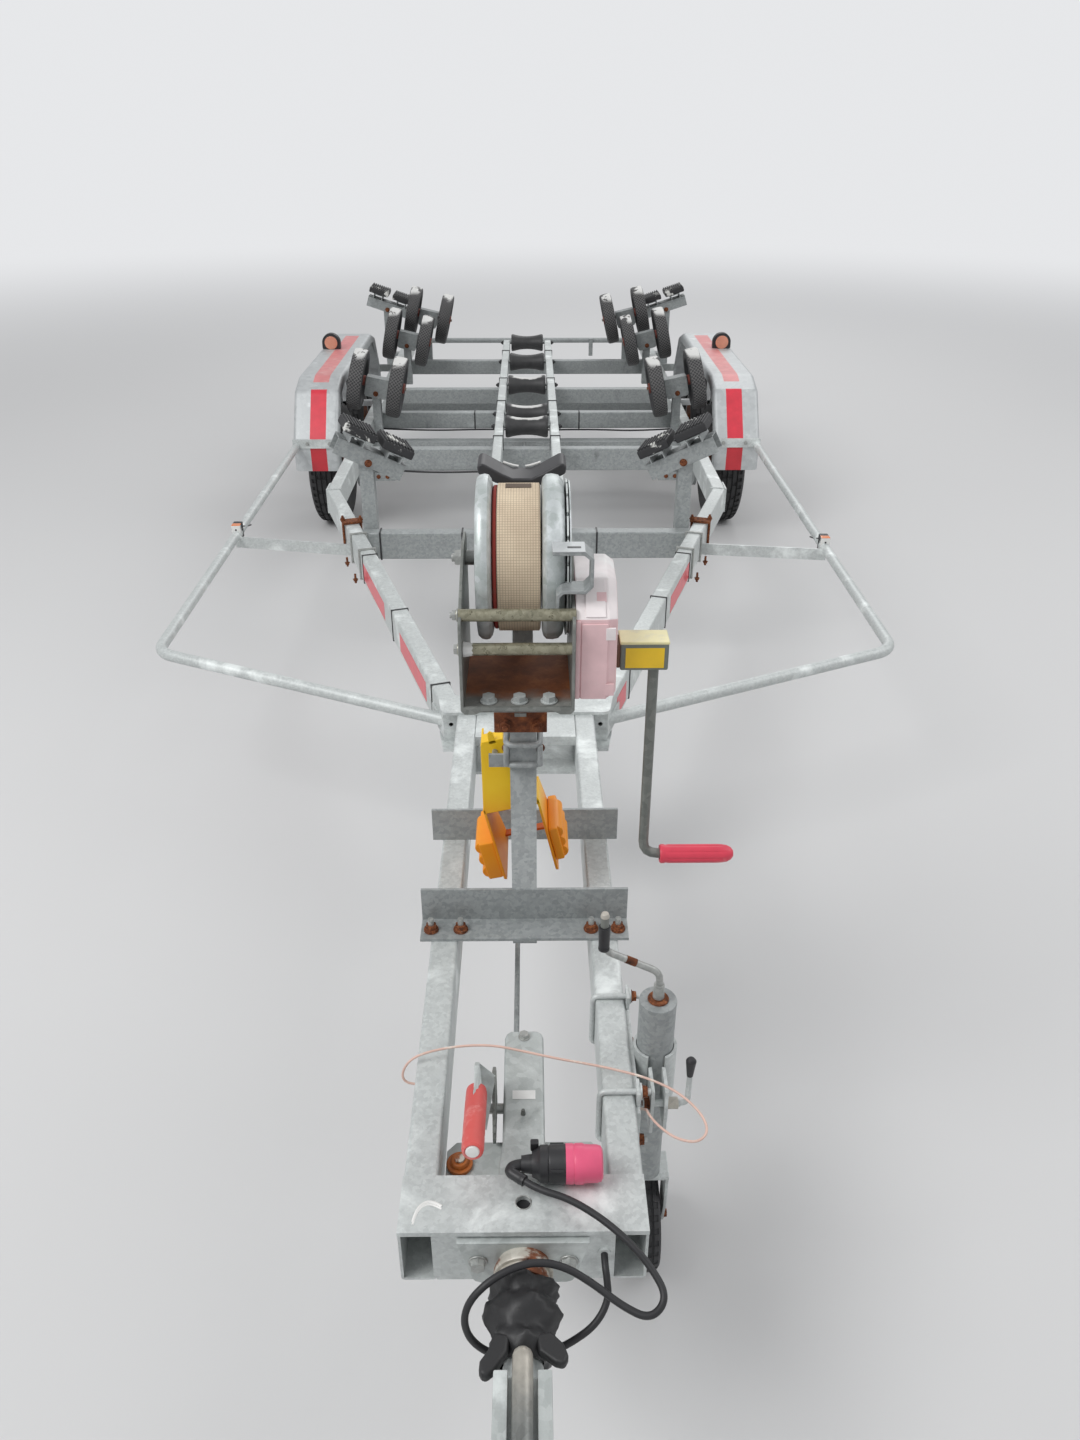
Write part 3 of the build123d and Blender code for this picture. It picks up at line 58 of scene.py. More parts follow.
# Pieces are shaped in millimetres, with the station behind the coupling's front as y
toFrame = Matrix.Translation((0, -halfLength / 1000, 0)) @ Matrix.Scale(0.001, 4)


def spot(x, station, z):
    return toFrame @ Vector((x, station, z))


# The camera, at the photograph's place
cameraView = {"x": 14, "station": -550, "height": 1900, "down": 29.65, "right": 0.54, "lens": 27.05}
camera = bpy.data.objects.new("camera", bpy.data.cameras.new("camera"))
bpy.context.scene.collection.objects.link(camera)
camera.data.sensor_width = 36
camera.data.lens = cameraView["lens"]
camera.location = spot(cameraView["x"], cameraView["station"], cameraView["height"])
camera.rotation_euler = (math.radians(90 - cameraView["down"]), 0, math.radians(-cameraView["right"]))
bpy.context.scene.camera = camera


# Node helpers
def newNode(tree, kind, inputs=None, **settings):
    node = tree.nodes.new(kind)
    for label, value in settings.items():
        setattr(node, label, value)
    for label, value in (inputs or {}).items():
        if isinstance(value, bpy.types.NodeSocket):
            tree.links.new(value, node.inputs[label])
        else:
            node.inputs[label].default_value = value
    return node


def mixTones(tree, amount, first, second):
    inputs = {0: amount, 6: first, 7: second}
    return newNode(tree, "ShaderNodeMix", inputs, data_type="RGBA").outputs[2]


def combine(tree, operation, first, second, clamp=False):
    inputs = {0: first, 1: second}
    return newNode(tree, "ShaderNodeMath", inputs, operation=operation, use_clamp=clamp).outputs[0]


def combinePlaces(tree, operation, first, second):
    return newNode(tree, "ShaderNodeVectorMath", {0: first, 1: second}, operation=operation).outputs[0]


def absolute(tree, value):
    return newNode(tree, "ShaderNodeMath", {0: value}, operation="ABSOLUTE").outputs[0]


def noiseAt(tree, place, scale, detail=4.0):
    return newNode(tree, "ShaderNodeTexNoise", {"Vector": place, "Scale": scale, "Detail": detail}).outputs[0]


def splitPlace(tree, place):
    return newNode(tree, "ShaderNodeSeparateXYZ", {0: place}).outputs


def threshold(tree, value, low, high):
    inputs = {"Value": value, "From Min": low, "From Max": high}
    return newNode(tree, "ShaderNodeMapRange", inputs, interpolation_type="SMOOTHSTEP").outputs[0]


def newGroup(name, inputs, outputs):
    tree = bpy.data.node_groups.new(name, "ShaderNodeTree")
    for label, kind, value in inputs:
        socket = tree.interface.new_socket(name=label, in_out="INPUT", socket_type="NodeSocket" + kind)
        if value is not None:
            socket.default_value = value
    for label, kind in outputs:
        tree.interface.new_socket(name=label, in_out="OUTPUT", socket_type="NodeSocket" + kind)
    return tree, tree.nodes.new("NodeGroupInput").outputs, tree.nodes.new("NodeGroupOutput")


def useGroup(tree, group, inputs):
    return newNode(tree, "ShaderNodeGroup", inputs, node_tree=group).outputs


def tone(red, green, blue):
    return (red, green, blue, 1)


# Patches of a second colour, for stains, dust, wear and rust
def makePatchesGroup():
    inputs = [
        ("Place", "Vector", None), ("Base", "Color", tone(0.5, 0.5, 0.5)),
        ("Patch", "Color", tone(0.5, 0.5, 0.5)),
    ]
    inputs += [
        ("Scale", "Float", 5.0), ("Amount", "Float", 0.3), ("Softness", "Float", 0.1),
        ("Stretch", "Float", 1.0),
    ]
    tree, given, result = newGroup("patches", inputs, [("Color", "Color"), ("Mask", "Float")])
    stretch = newNode(tree, "ShaderNodeCombineXYZ", {"X": 1.0, "Y": 1.0, "Z": given["Stretch"]}).outputs[0]
    place = combinePlaces(tree, "MULTIPLY", given["Place"], stretch)
    inputs = {"Vector": place, "Scale": given["Scale"], "Detail": 6.0, "Roughness": 0.62, "Distortion": 0.3}
    noise = newNode(tree, "ShaderNodeTexNoise", inputs).outputs[0]
    edge = combine(tree, "SUBTRACT", 0.78, combine(tree, "MULTIPLY", given["Amount"], 0.56))
    mask = threshold(tree, noise, edge, combine(tree, "ADD", edge, given["Softness"]))
    tree.links.new(mixTones(tree, mask, given["Base"], given["Patch"]), result.inputs["Color"])
    tree.links.new(mask, result.inputs["Mask"])
    return tree


# The crystals of hot-dip zinc, with its fine grain
def makeSpangleGroup():
    inputs = [
        ("Place", "Vector", None), ("Dull", "Color", tone(0.3, 0.3, 0.3)),
        ("Bright", "Color", tone(0.5, 0.5, 0.5)),
    ]
    inputs += [("Size", "Float", 0.012)]
    tree, given, result = newGroup(
        "zinc spangle", inputs, [("Color", "Color"), ("Height", "Float"), ("Shade", "Float")],
    )
    scale = combine(tree, "DIVIDE", 1.0, given["Size"])
    inputs = {"Vector": given["Place"], "Scale": scale, "Detail": 2.0}
    warp = newNode(tree, "ShaderNodeTexNoise", inputs).outputs[1]
    push = newNode(tree, "ShaderNodeVectorMath", {0: warp, "Scale": 0.006}, operation="SCALE").outputs[0]
    place = combinePlaces(tree, "ADD", given["Place"], push)
    cells = newNode(tree, "ShaderNodeTexVoronoi", {"Vector": place, "Scale": scale}).outputs
    shade = newNode(tree, "ShaderNodeSeparateColor", {0: cells["Color"]}).outputs[0]
    grain = noiseAt(tree, given["Place"], 420.0, 3.0)
    mixed = combine(tree, "ADD", combine(tree, "MULTIPLY", shade, 0.6), combine(tree, "MULTIPLY", grain, 0.4))
    tree.links.new(mixTones(tree, mixed, given["Dull"], given["Bright"]), result.inputs["Color"])
    tree.links.new(grain, result.inputs["Height"])
    tree.links.new(mixed, result.inputs["Shade"])
    return tree


# Rust from dark brown to orange
def makeRustGroup():
    inputs = [("Place", "Vector", None), ("Scale", "Float", 30.0)]
    tree, given, result = newGroup("rust", inputs, [("Color", "Color"), ("Height", "Float")])
    inputs = {"Vector": given["Place"], "Scale": given["Scale"], "Detail": 8.0, "Roughness": 0.7}
    noise = newNode(tree, "ShaderNodeTexNoise", inputs).outputs[0]
    ramp = newNode(tree, "ShaderNodeValToRGB", {0: noise})
    ramp.color_ramp.elements[0].position = 0.32
    ramp.color_ramp.elements[0].color = tone(0.045, 0.016, 0.008)
    ramp.color_ramp.elements[1].position = 0.68
    ramp.color_ramp.elements[1].color = tone(0.36, 0.13, 0.045)
    middle = ramp.color_ramp.elements.new(0.5)
    middle.color = tone(0.17, 0.052, 0.02)
    tree.links.new(ramp.outputs[0], result.inputs["Color"])
    tree.links.new(noise, result.inputs["Height"])
    return tree


# The turn about a shaft along X, from 0 to 1, and the distance from it
def makeTurnGroup():
    inputs = [("Place", "Vector", None), ("Centre", "Vector", None)]
    tree, given, result = newGroup(
        "turn about a shaft", inputs, [("Turn", "Float"), ("Distance", "Float"), ("Across", "Float")],
    )
    away = combinePlaces(tree, "SUBTRACT", given["Place"], given["Centre"])
    parts = splitPlace(tree, away)
    angle = combine(tree, "ARCTAN2", parts["Z"], parts["Y"])
    turn = combine(tree, "ADD", combine(tree, "DIVIDE", angle, 2 * math.pi), 0.5)
    flat = newNode(tree, "ShaderNodeCombineXYZ", {"Y": parts["Y"], "Z": parts["Z"]}).outputs[0]
    length = newNode(tree, "ShaderNodeVectorMath", {0: flat}, operation="LENGTH").outputs["Value"]
    tree.links.new(turn, result.inputs["Turn"])
    tree.links.new(length, result.inputs["Distance"])
    tree.links.new(parts["X"], result.inputs["Across"])
    return tree


patchesGroup = makePatchesGroup()
spangleGroup = makeSpangleGroup()
rustGroup = makeRustGroup()
turnGroup = makeTurnGroup()


def patched(tree, place, base, patch, scale, amount, softness, stretch=1.0):
    inputs = {"Place": place, "Base": base, "Patch": patch, "Scale": scale}
    inputs.update({"Amount": amount, "Softness": softness, "Stretch": stretch})
    return useGroup(tree, patchesGroup, inputs)


def spangled(tree, place, dull, bright, size=0.012):
    return useGroup(
        tree, spangleGroup, {"Place": place, "Dull": tone(*dull), "Bright": tone(*bright), "Size": size},
    )


def rusted(tree, place, scale):
    return useGroup(tree, rustGroup, {"Place": place, "Scale": scale})


def startMaterial(name, metal, coat=0.0):
    material = bpy.data.materials.new(name)
    material.use_nodes = True
    tree = material.node_tree
    shader = tree.nodes["Principled BSDF"]
    shader.inputs["Metallic"].default_value = metal
    shader.inputs["Coat Weight"].default_value = coat
    return material, tree, shader, newNode(tree, "ShaderNodeTexCoord").outputs["Object"]


def addBump(tree, shader, height, strength, distance):
    inputs = {"Height": height, "Strength": strength, "Distance": distance}
    tree.links.new(newNode(tree, "ShaderNodeBump", inputs).outputs[0], shader.inputs["Normal"])


# Weathered zinc: spangle, pale oxide, dark grime and rust in patches
def zincFinish(name, dull, bright, metal=0.35, rough=0.5, pale=0.35, grime=0.3, rust=0.0, size=0.012):
    material, tree, shader, place = startMaterial(name, metal)
    spangle = spangled(tree, place, dull, bright, size)
    oxide = tone(*[min(1, 1.28 * value + 0.03) for value in bright])
    shadow = tone(*[0.45 * value for value in dull])
    paleZinc = patched(tree, place, spangle["Color"], oxide, 9.0, pale, 0.22)
    dirty = patched(tree, place, paleZinc["Color"], shadow, 14.0, grime, 0.3, 0.35)
    stained = patched(tree, place, dirty["Color"], rusted(tree, place, 45.0)["Color"], 17.0, rust, 0.1)
    roughness = combine(tree, "ADD", rough - 0.1, combine(tree, "MULTIPLY", spangle["Shade"], 0.2))
    roughness = combine(tree, "ADD", roughness, combine(tree, "MULTIPLY", stained["Mask"], 0.3), clamp=True)
    clean = combine(tree, "SUBTRACT", 1.0, stained["Mask"])
    tree.links.new(stained["Color"], shader.inputs["Base Color"])
    tree.links.new(roughness, shader.inputs["Roughness"])
    tree.links.new(combine(tree, "MULTIPLY", clean, metal), shader.inputs["Metallic"])
    addBump(tree, shader, spangle["Height"], 0.25, 0.0006)
    return material


# Bare steel that has rusted all over
def rustFinish(name, scale=45.0, zincLeft=0.0):
    material, tree, shader, place = startMaterial(name, 0.1)
    rusty = rusted(tree, place, scale)
    left = patched(tree, place, rusty["Color"], tone(0.33, 0.33, 0.3), 38.0, zincLeft, 0.12)
    roughness = combine(tree, "SUBTRACT", 0.9, combine(tree, "MULTIPLY", left["Mask"], 0.35))
    tree.links.new(left["Color"], shader.inputs["Base Color"])
    tree.links.new(roughness, shader.inputs["Roughness"])
    addBump(tree, shader, rusty["Height"], 0.5, 0.0012)
    return material


# Rubber or plastic that has dust, chalk or sun fading in patches
def mouldedFinish(
    name, base, patch, amount=0.3, rough=0.6, scale=8.0, softness=0.2, grain=300.0, depth=0.0003, coat=0.0,
):
    material, tree, shader, place = startMaterial(name, 0.0, coat)
    shades = noiseAt(tree, place, 26.0)
    darker = tone(*[0.8 * value for value in base])
    lighter = tone(*[min(1, 1.2 * value) for value in base])
    faded = patched(
        tree, place, mixTones(tree, shades, darker, lighter), tone(*patch), scale, amount, softness,
    )
    roughness = combine(tree, "ADD", rough, combine(tree, "MULTIPLY", faded["Mask"], 0.15), clamp=True)
    tree.links.new(faded["Color"], shader.inputs["Base Color"])
    tree.links.new(roughness, shader.inputs["Roughness"])
    height = noiseAt(tree, place, grain, 3.0)
    addBump(tree, shader, height, 0.35, depth)
    return material


zincPale = zincFinish(
    "galvanised tube", (0.43, 0.455, 0.45), (0.6, 0.63, 0.62), metal=0.25, pale=0.5, grime=0.22, rust=0.04,
    size=0.006,
)
zincDull = zincFinish(
    "galvanised frame", (0.25, 0.27, 0.27), (0.41, 0.43, 0.43), pale=0.3, grime=0.34, rust=0.06, rough=0.55,
    size=0.007,
)
zincSheet = zincFinish(
    "galvanised sheet", (0.42, 0.44, 0.445), (0.56, 0.58, 0.585), pale=0.35, grime=0.22, size=0.02,
)
zincDark = zincFinish(
    "dark zinc plate", (0.13, 0.14, 0.13), (0.24, 0.25, 0.23), grime=0.4, rust=0.16, rough=0.5,
)
zincRusty = zincFinish(
    "zinc with rust", (0.2, 0.2, 0.18), (0.36, 0.36, 0.32), grime=0.4, rust=0.42, rough=0.55,
)
rustySteel = rustFinish("rusty steel")
rustyBolts = rustFinish("rusty bolts", scale=160.0, zincLeft=0.25)
cableSheath = mouldedFinish(
    "cable sheath", (0.02, 0.02, 0.022), (0.09, 0.085, 0.08), amount=0.2, rough=0.5, scale=30.0,
)
wireSheath = mouldedFinish(
    "faded wire", (0.66, 0.45, 0.38), (0.74, 0.68, 0.6), amount=0.5, rough=0.55, scale=40.0,
)
blackRubber = mouldedFinish(
    "black rubber", (0.03, 0.03, 0.032), (0.12, 0.115, 0.11), amount=0.25, rough=0.62, scale=16.0,
)
print("materials made")


# Mesh helpers: each makes one form and joins it to a larger shape
def joinTo(shape, part, paint=None, place=None):
    if place is not None:
        bmesh.ops.transform(part, matrix=place, verts=part.verts[:])
    if paint is not None:
        for face in part.faces:
            face.material_index = paint
    mesh = bpy.data.meshes.new("part")
    part.to_mesh(mesh)
    part.free()
    shape.from_mesh(mesh)
    bpy.data.meshes.remove(mesh)


def turnTo(direction):
    return Vector(direction).normalized().to_track_quat("Z", "Y").to_matrix().to_4x4()


def bevelAll(part, size, segments=2):
    sharp = [edge for edge in part.edges if len(edge.link_faces) == 2 and edge.calc_face_angle(0) > 0.6]
    bmesh.ops.bevel(
        part, geom=sharp, offset=size, segments=segments, profile=0.5, affect="EDGES", material=-1,
    )


def addBox(shape, centre, size, bevel=0, paint=0, turn=None):
    part = bmesh.new()
    bmesh.ops.create_cube(part, size=1)
    bmesh.ops.scale(part, vec=size, verts=part.verts[:])
    if bevel:
        bevelAll(part, bevel)
    joinTo(shape, part, paint, Matrix.Translation(centre) @ (turn.to_4x4() if turn else Matrix()))


def addRound(shape, start, end, radius, tip=None, steps=32, bevel=0, paint=0):
    part = bmesh.new()
    start, end = Vector(start), Vector(end)
    tip = radius if tip is None else tip
    bmesh.ops.create_cone(
        part, cap_ends=True, segments=steps, radius1=radius, radius2=tip, depth=(end - start).length,
    )
    if bevel:
        bevelAll(part, bevel)
    joinTo(shape, part, paint, Matrix.Translation((start + end) / 2) @ turnTo(end - start))


def onCircle(centre, radius, angle):
    return centre[0] + radius * math.cos(angle), centre[1] + radius * math.sin(angle)


# The points and, in reverse, their mirror images; a last point on the axis isn't doubled
def mirrored(points):
    turned = points[-2::-1] if points[-1][0] == 0 else points[::-1]
    return points + [(-across, other) for across, other in turned]


# The step of a ring in which a face lies, and its distance from the shaft
def ringStep(face, steps):
    middle = face.calc_center_median()
    step = int(math.degrees(math.atan2(middle.z, middle.y)) // (360 / steps))
    return middle, math.hypot(middle.y, middle.z), step


# A profile of (distance along the shaft, radius) turned about a shaft along X
def spun(profile, steps=48, closed=False, turn=2 * math.pi):
    part = bmesh.new()
    verts = [part.verts.new((along, 0, radius)) for along, radius in profile]
    pairs = list(zip(verts, verts[1:]))
    if closed:
        pairs.append((verts[-1], verts[0]))
    edges = [part.edges.new(pair) for pair in pairs]
    bmesh.ops.spin(
        part, geom=verts + edges, cent=(0, 0, 0), axis=(1, 0, 0), dvec=(0, 0, 0),
        angle=turn, steps=steps, use_merge=turn > 6.28,
    )
    bmesh.ops.remove_doubles(part, verts=part.verts[:], dist=0.001)
    bmesh.ops.recalc_face_normals(part, faces=part.faces[:])
    return part


def addSpin(shape, profile, centre, steps=48, paint=0, closed=False, turn=2 * math.pi):
    joinTo(shape, spun(profile, steps, closed, turn), paint, Matrix.Translation(centre))


# An outline in the plane of two axes, pushed along a third
def addPrism(shape, outline, start, end, axis="x", bevel=0, paint=0, segments=2, place=None):
    part = bmesh.new()
    places = {
        "x": lambda a, b: (start, a, b),
        "y": lambda a, b: (a, start, b),
        "z": lambda a, b: (a, b, start),
    }
    face = part.faces.new([part.verts.new(places[axis](a, b)) for a, b in outline])
    grown = bmesh.ops.extrude_face_region(part, geom=[face])["geom"]
    moved = [item for item in grown if isinstance(item, bmesh.types.BMVert)]
    push = {"x": (end - start, 0, 0), "y": (0, end - start, 0), "z": (0, 0, end - start)}[axis]
    bmesh.ops.translate(part, vec=push, verts=moved)
    if bevel:
        bevelAll(part, bevel, segments)
    joinTo(shape, part, paint, place)


# A rod bent along a few points
def addRod(shape, points, radius, paint=0, smooth=True, ring=3, place=None):
    curve = bpy.data.curves.new("rod", "CURVE")
    curve.dimensions = "3D"
    curve.bevel_depth = radius
    curve.bevel_resolution = ring
    curve.resolution_u = 6
    curve.use_fill_caps = True
    spline = curve.splines.new("NURBS" if smooth else "POLY")
    spline.points.add(len(points) - 1)
    for knot, spotOnRod in zip(spline.points, points):
        knot.co = (*spotOnRod, 1)
    if smooth:
        spline.order_u = 3
        spline.use_endpoint_u = True
    holder = bpy.data.objects.new("rod", curve)
    mesh = bpy.data.meshes.new_from_object(holder)
    part = bmesh.new()
    part.from_mesh(mesh)
    bmesh.ops.remove_doubles(part, verts=part.verts[:], dist=0.001)
    bpy.data.objects.remove(holder)
    bpy.data.meshes.remove(mesh)
    bpy.data.curves.remove(curve)
    joinTo(shape, part, paint, place)


# A hexagon head on a washer, or a nut with its thread end
def addBolt(shape, place, direction, size=10, paint=0, thread=0):
    place, direction = Vector(place), Vector(direction).normalized()
    addRound(
        shape, place, place + 0.2 * size * direction, 1.05 * size, steps=20, bevel=0.08 * size, paint=paint,
    )
    high = place + 0.85 * size * direction
    addRound(shape, place + 0.2 * size * direction, high, 0.88 * size, tip=0.82 * size, steps=6, paint=paint)
    if thread:
        addRound(
            shape, high, high + thread * direction, 0.45 * size, steps=12, bevel=0.08 * size, paint=paint,
        )


def finishPiece(name, shape, body, materials, angle=38, closed=True, local=None):
    if local:
        bmesh.ops.transform(shape, matrix=local, verts=shape.verts[:])
    if closed:
        bmesh.ops.recalc_face_normals(shape, faces=shape.faces[:])
    bmesh.ops.transform(shape, matrix=toFrame, verts=shape.verts[:])
    mesh = bpy.data.meshes.new(name)
    shape.to_mesh(mesh)
    shape.free()
    mesh.shade_smooth()
    mesh.set_sharp_from_angle(angle=math.radians(angle))
    for material in materials:
        mesh.materials.append(material)
    piece = bpy.data.objects.new(name, mesh)
    bpy.context.scene.collection.objects.link(piece)
    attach(piece, body)
    even = piece.modifiers.new("even normals", "WEIGHTED_NORMAL")
    even.keep_sharp = True
    return piece


# Cords: the points are the routes of the solids, in metres
def cordPiece(name, route, diameter, material):
    curve = bpy.data.curves.new(name, "CURVE")
    curve.dimensions = "3D"
    curve.bevel_depth = diameter / 2
    curve.bevel_resolution = 4
    curve.resolution_u = 8
    curve.use_fill_caps = True
    curve.materials.append(material)
    spline = curve.splines.new("NURBS")
    spline.points.add(len(route) - 1)
    for knot, place in zip(spline.points, route):
        knot.co = (*place, 1)
    spline.order_u = 3
    spline.use_endpoint_u = True
    cord = bpy.data.objects.new(name, curve)
    bpy.context.scene.collection.objects.link(cord)
    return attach(cord, "chassis")


powerCord = {"diameter": 0.010, "length": 0.89}
powerRoute = [
    (0.112, -3.089, 0.515), (0.112, -3.104, 0.515), (0.114, -3.118, 0.505), (0.116, -3.138, 0.488),
    (0.098, -3.160, 0.468), (0.066, -3.176, 0.456), (0.033, -3.188, 0.450), (0.000, -3.192, 0.443),
    (-0.036, -3.190, 0.448), (-0.067, -3.186, 0.471), (-0.079, -3.181, 0.506), (-0.073, -3.174, 0.539),
    (-0.050, -3.162, 0.562), (-0.018, -3.146, 0.570), (0.016, -3.136, 0.570), (0.054, -3.137, 0.562),
    (0.094, -3.153, 0.546), (0.130, -3.176, 0.534), (0.166, -3.193, 0.531), (0.190, -3.169, 0.541),
    (0.170, -3.137, 0.558), (0.140, -3.108, 0.574), (0.102, -3.078, 0.583), (0.060, -3.055, 0.590),
    (0.0214, -3.0431, 0.5913), (0.002, -3.029, 0.5913),
]
powerCable = cordPiece("powerCord", powerRoute, powerCord["diameter"], cableSheath)
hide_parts("power_cable")

breakawayCord = {"diameter": 0.004, "length": 0.75}
breakawayRoute = [
    (-0.173, -2.791, 0.520), (-0.189, -2.791, 0.520), (-0.199, -2.789, 0.538), (-0.184, -2.782, 0.567),
    (-0.148, -2.772, 0.575), (-0.100, -2.764, 0.577), (-0.050, -2.766, 0.580), (0.000, -2.779, 0.579),
    (0.050, -2.791, 0.576), (0.100, -2.800, 0.573), (0.150, -2.812, 0.571), (0.198, -2.829, 0.570),
    (0.240, -2.853, 0.567), (0.270, -2.887, 0.562), (0.279, -2.919, 0.558), (0.260, -2.939, 0.556),
    (0.228, -2.930, 0.554), (0.204, -2.903, 0.551), (0.193, -2.873, 0.541), (0.192, -2.853, 0.530),
    (0.181, -2.853, 0.530),
]
breakawayCable = cordPiece("breakawayCord", breakawayRoute, breakawayCord["diameter"], wireSheath)
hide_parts("breakaway_cable")
print("cords laid")

# Floor, backdrop and lights
studio = {
    "floor": (0.62, 0.62, 0.62), "backdrop": 0.82, "key": 330, "fill": 110, "sky": 0.6, "fadeFrom": 4.0,
    "fadeTo": 15.0,
}


def paleFloor():
    material, tree, shader, place = startMaterial("floor", 0.0)
    noise = noiseAt(tree, place, 0.4, 2.0)
    pale = tone(*studio["floor"])
    varied = mixTones(tree, noise, pale, tone(*[0.97 * value for value in studio["floor"]]))
    away = newNode(tree, "ShaderNodeVectorMath", {0: place}, operation="LENGTH").outputs["Value"]
    far = threshold(tree, away, studio["fadeFrom"], studio["fadeTo"])
    rays = newNode(tree, "ShaderNodeLightPath").outputs
    seen = combine(tree, "MULTIPLY", rays["Is Camera Ray"], far)
    tree.links.new(mixTones(tree, seen, varied, tone(0, 0, 0)), shader.inputs["Base Color"])
    shader.inputs["Roughness"].default_value = 0.9
    shader.inputs["Specular IOR Level"].default_value = 0.0
    shader.inputs["Emission Strength"].default_value = studio["backdrop"]
    tree.links.new(
        mixTones(tree, seen, tone(0, 0, 0), tone(0.97, 0.98, 1.0)), shader.inputs["Emission Color"],
    )
    return material


floorShape = bmesh.new()
bmesh.ops.create_grid(floorShape, x_segments=1, y_segments=1, size=60)
floorMesh = bpy.data.meshes.new("floor")
floorShape.to_mesh(floorMesh)
floorShape.free()
floorMesh.materials.append(paleFloor())
floor = bpy.data.objects.new("floor", floorMesh)
bpy.context.scene.collection.objects.link(floor)
floor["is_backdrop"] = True

world = bpy.data.worlds.new("studio")
bpy.context.scene.world = world
world.use_nodes = True
sky = world.node_tree.nodes["Background"]
rays = newNode(world.node_tree, "ShaderNodeLightPath").outputs
seen = combine(world.node_tree, "MAXIMUM", rays["Is Camera Ray"], rays["Is Transmission Ray"])
inputs = {0: seen, 2: studio["sky"], 3: studio["backdrop"]}
strength = newNode(world.node_tree, "ShaderNodeMix", inputs, data_type="FLOAT").outputs[0]
sky.inputs["Color"].default_value = tone(0.97, 0.98, 1.0)
world.node_tree.links.new(strength, sky.inputs["Strength"])
bpy.context.scene.view_settings.view_transform = "Standard"


def softLight(name, place, aim, size, power):
    light = bpy.data.lights.new(name, "AREA")
    light.energy = power
    light.shape = "DISK"
    light.size = size
    lamp = bpy.data.objects.new(name, light)
    bpy.context.scene.collection.objects.link(lamp)
    lamp.location = place
    lamp.rotation_euler = (Vector(aim) - Vector(place)).to_track_quat("-Z", "Y").to_euler()


softLight("keyLight", (-4.5, -4.5, 6.5), (0, -0.5, 0.5), 4.0, studio["key"])
softLight("fillLight", (5.0, -1.0, 5.0), (0, 0, 0.5), 5.0, studio["fill"])
softLight("rearLight", (1.5, 6.5, 5.0), (0, 1.5, 0.5), 4.0, studio["fill"])
print("studio ready")


def dress(material, *names):
    for name in names:
        mesh = nodes[name].data
        mesh.materials.clear()
        mesh.materials.append(material)


dress(zincPale, "side_guards")
dress(zincDull, "roller_mounts", "axles", "jack_leg")

# Road wheels: a treaded tyre and a steel rim with its nuts, cap and drum
roadWheel = {"x": 997.5, "height": 298, "stations": {"front": 4960, "rear": 5760}, "steps": 96}
tyreWalls = [
    (66, 163), (71, 168), (77, 184), (81, 206), (82.5, 232), (81.5, 252), (77, 269), (70, 283), (63, 291),
    (56, 295),
]
tyreGrooves = {"places": (-38, -13, 13, 38), "half": 3.5, "deep": 7}
tyreRubber = mouldedFinish(
    "tyre rubber", (0.025, 0.025, 0.026), (0.13, 0.12, 0.11), amount=0.3, rough=0.72, scale=7.0,
)


def makeTyre(side, station):
    profile = [(-along, radius) for along, radius in tyreWalls]
    for place in tyreGrooves["places"]:
        half, deep = tyreGrooves["half"], tyreGrooves["deep"]
        crown = roadWheel["height"] - 2.2 * abs(place / 50) ** 2
        profile += [
            (place - half, crown), (place - half + 1, crown - deep), (place + half - 1, crown - deep),
            (place + half, crown),
        ]
    profile += tyreWalls[::-1]
    shape = spun(profile, roadWheel["steps"], closed=True)
    blocks = []
    for face in shape.faces:
        middle, away, step = ringStep(face, roadWheel["steps"])
        shoulder = 41.5 < abs(middle.x) < 60 and away > 289
        rib = abs(middle.x) < 34 and away > 296
        if (shoulder and step % 2 == 0) or (rib and step % 4 == (1 if middle.x > 0 else 3)):
            blocks.append(face)
    bmesh.ops.inset_individual(shape, faces=blocks, thickness=1.5, depth=-4.5)
    bmesh.ops.transform(
        shape, matrix=Matrix.Translation((side * roadWheel["x"], station, roadWheel["height"])),
        verts=shape.verts[:],
    )
    return shape


rimValues = {"nuts": 5, "nutCircle": 56, "steps": 72}
rimPaint = zincFinish(
    "rim zinc", (0.36, 0.37, 0.38), (0.5, 0.51, 0.52), metal=0.4, rough=0.42, pale=0.15, grime=0.2,
    rust=0.05,
)


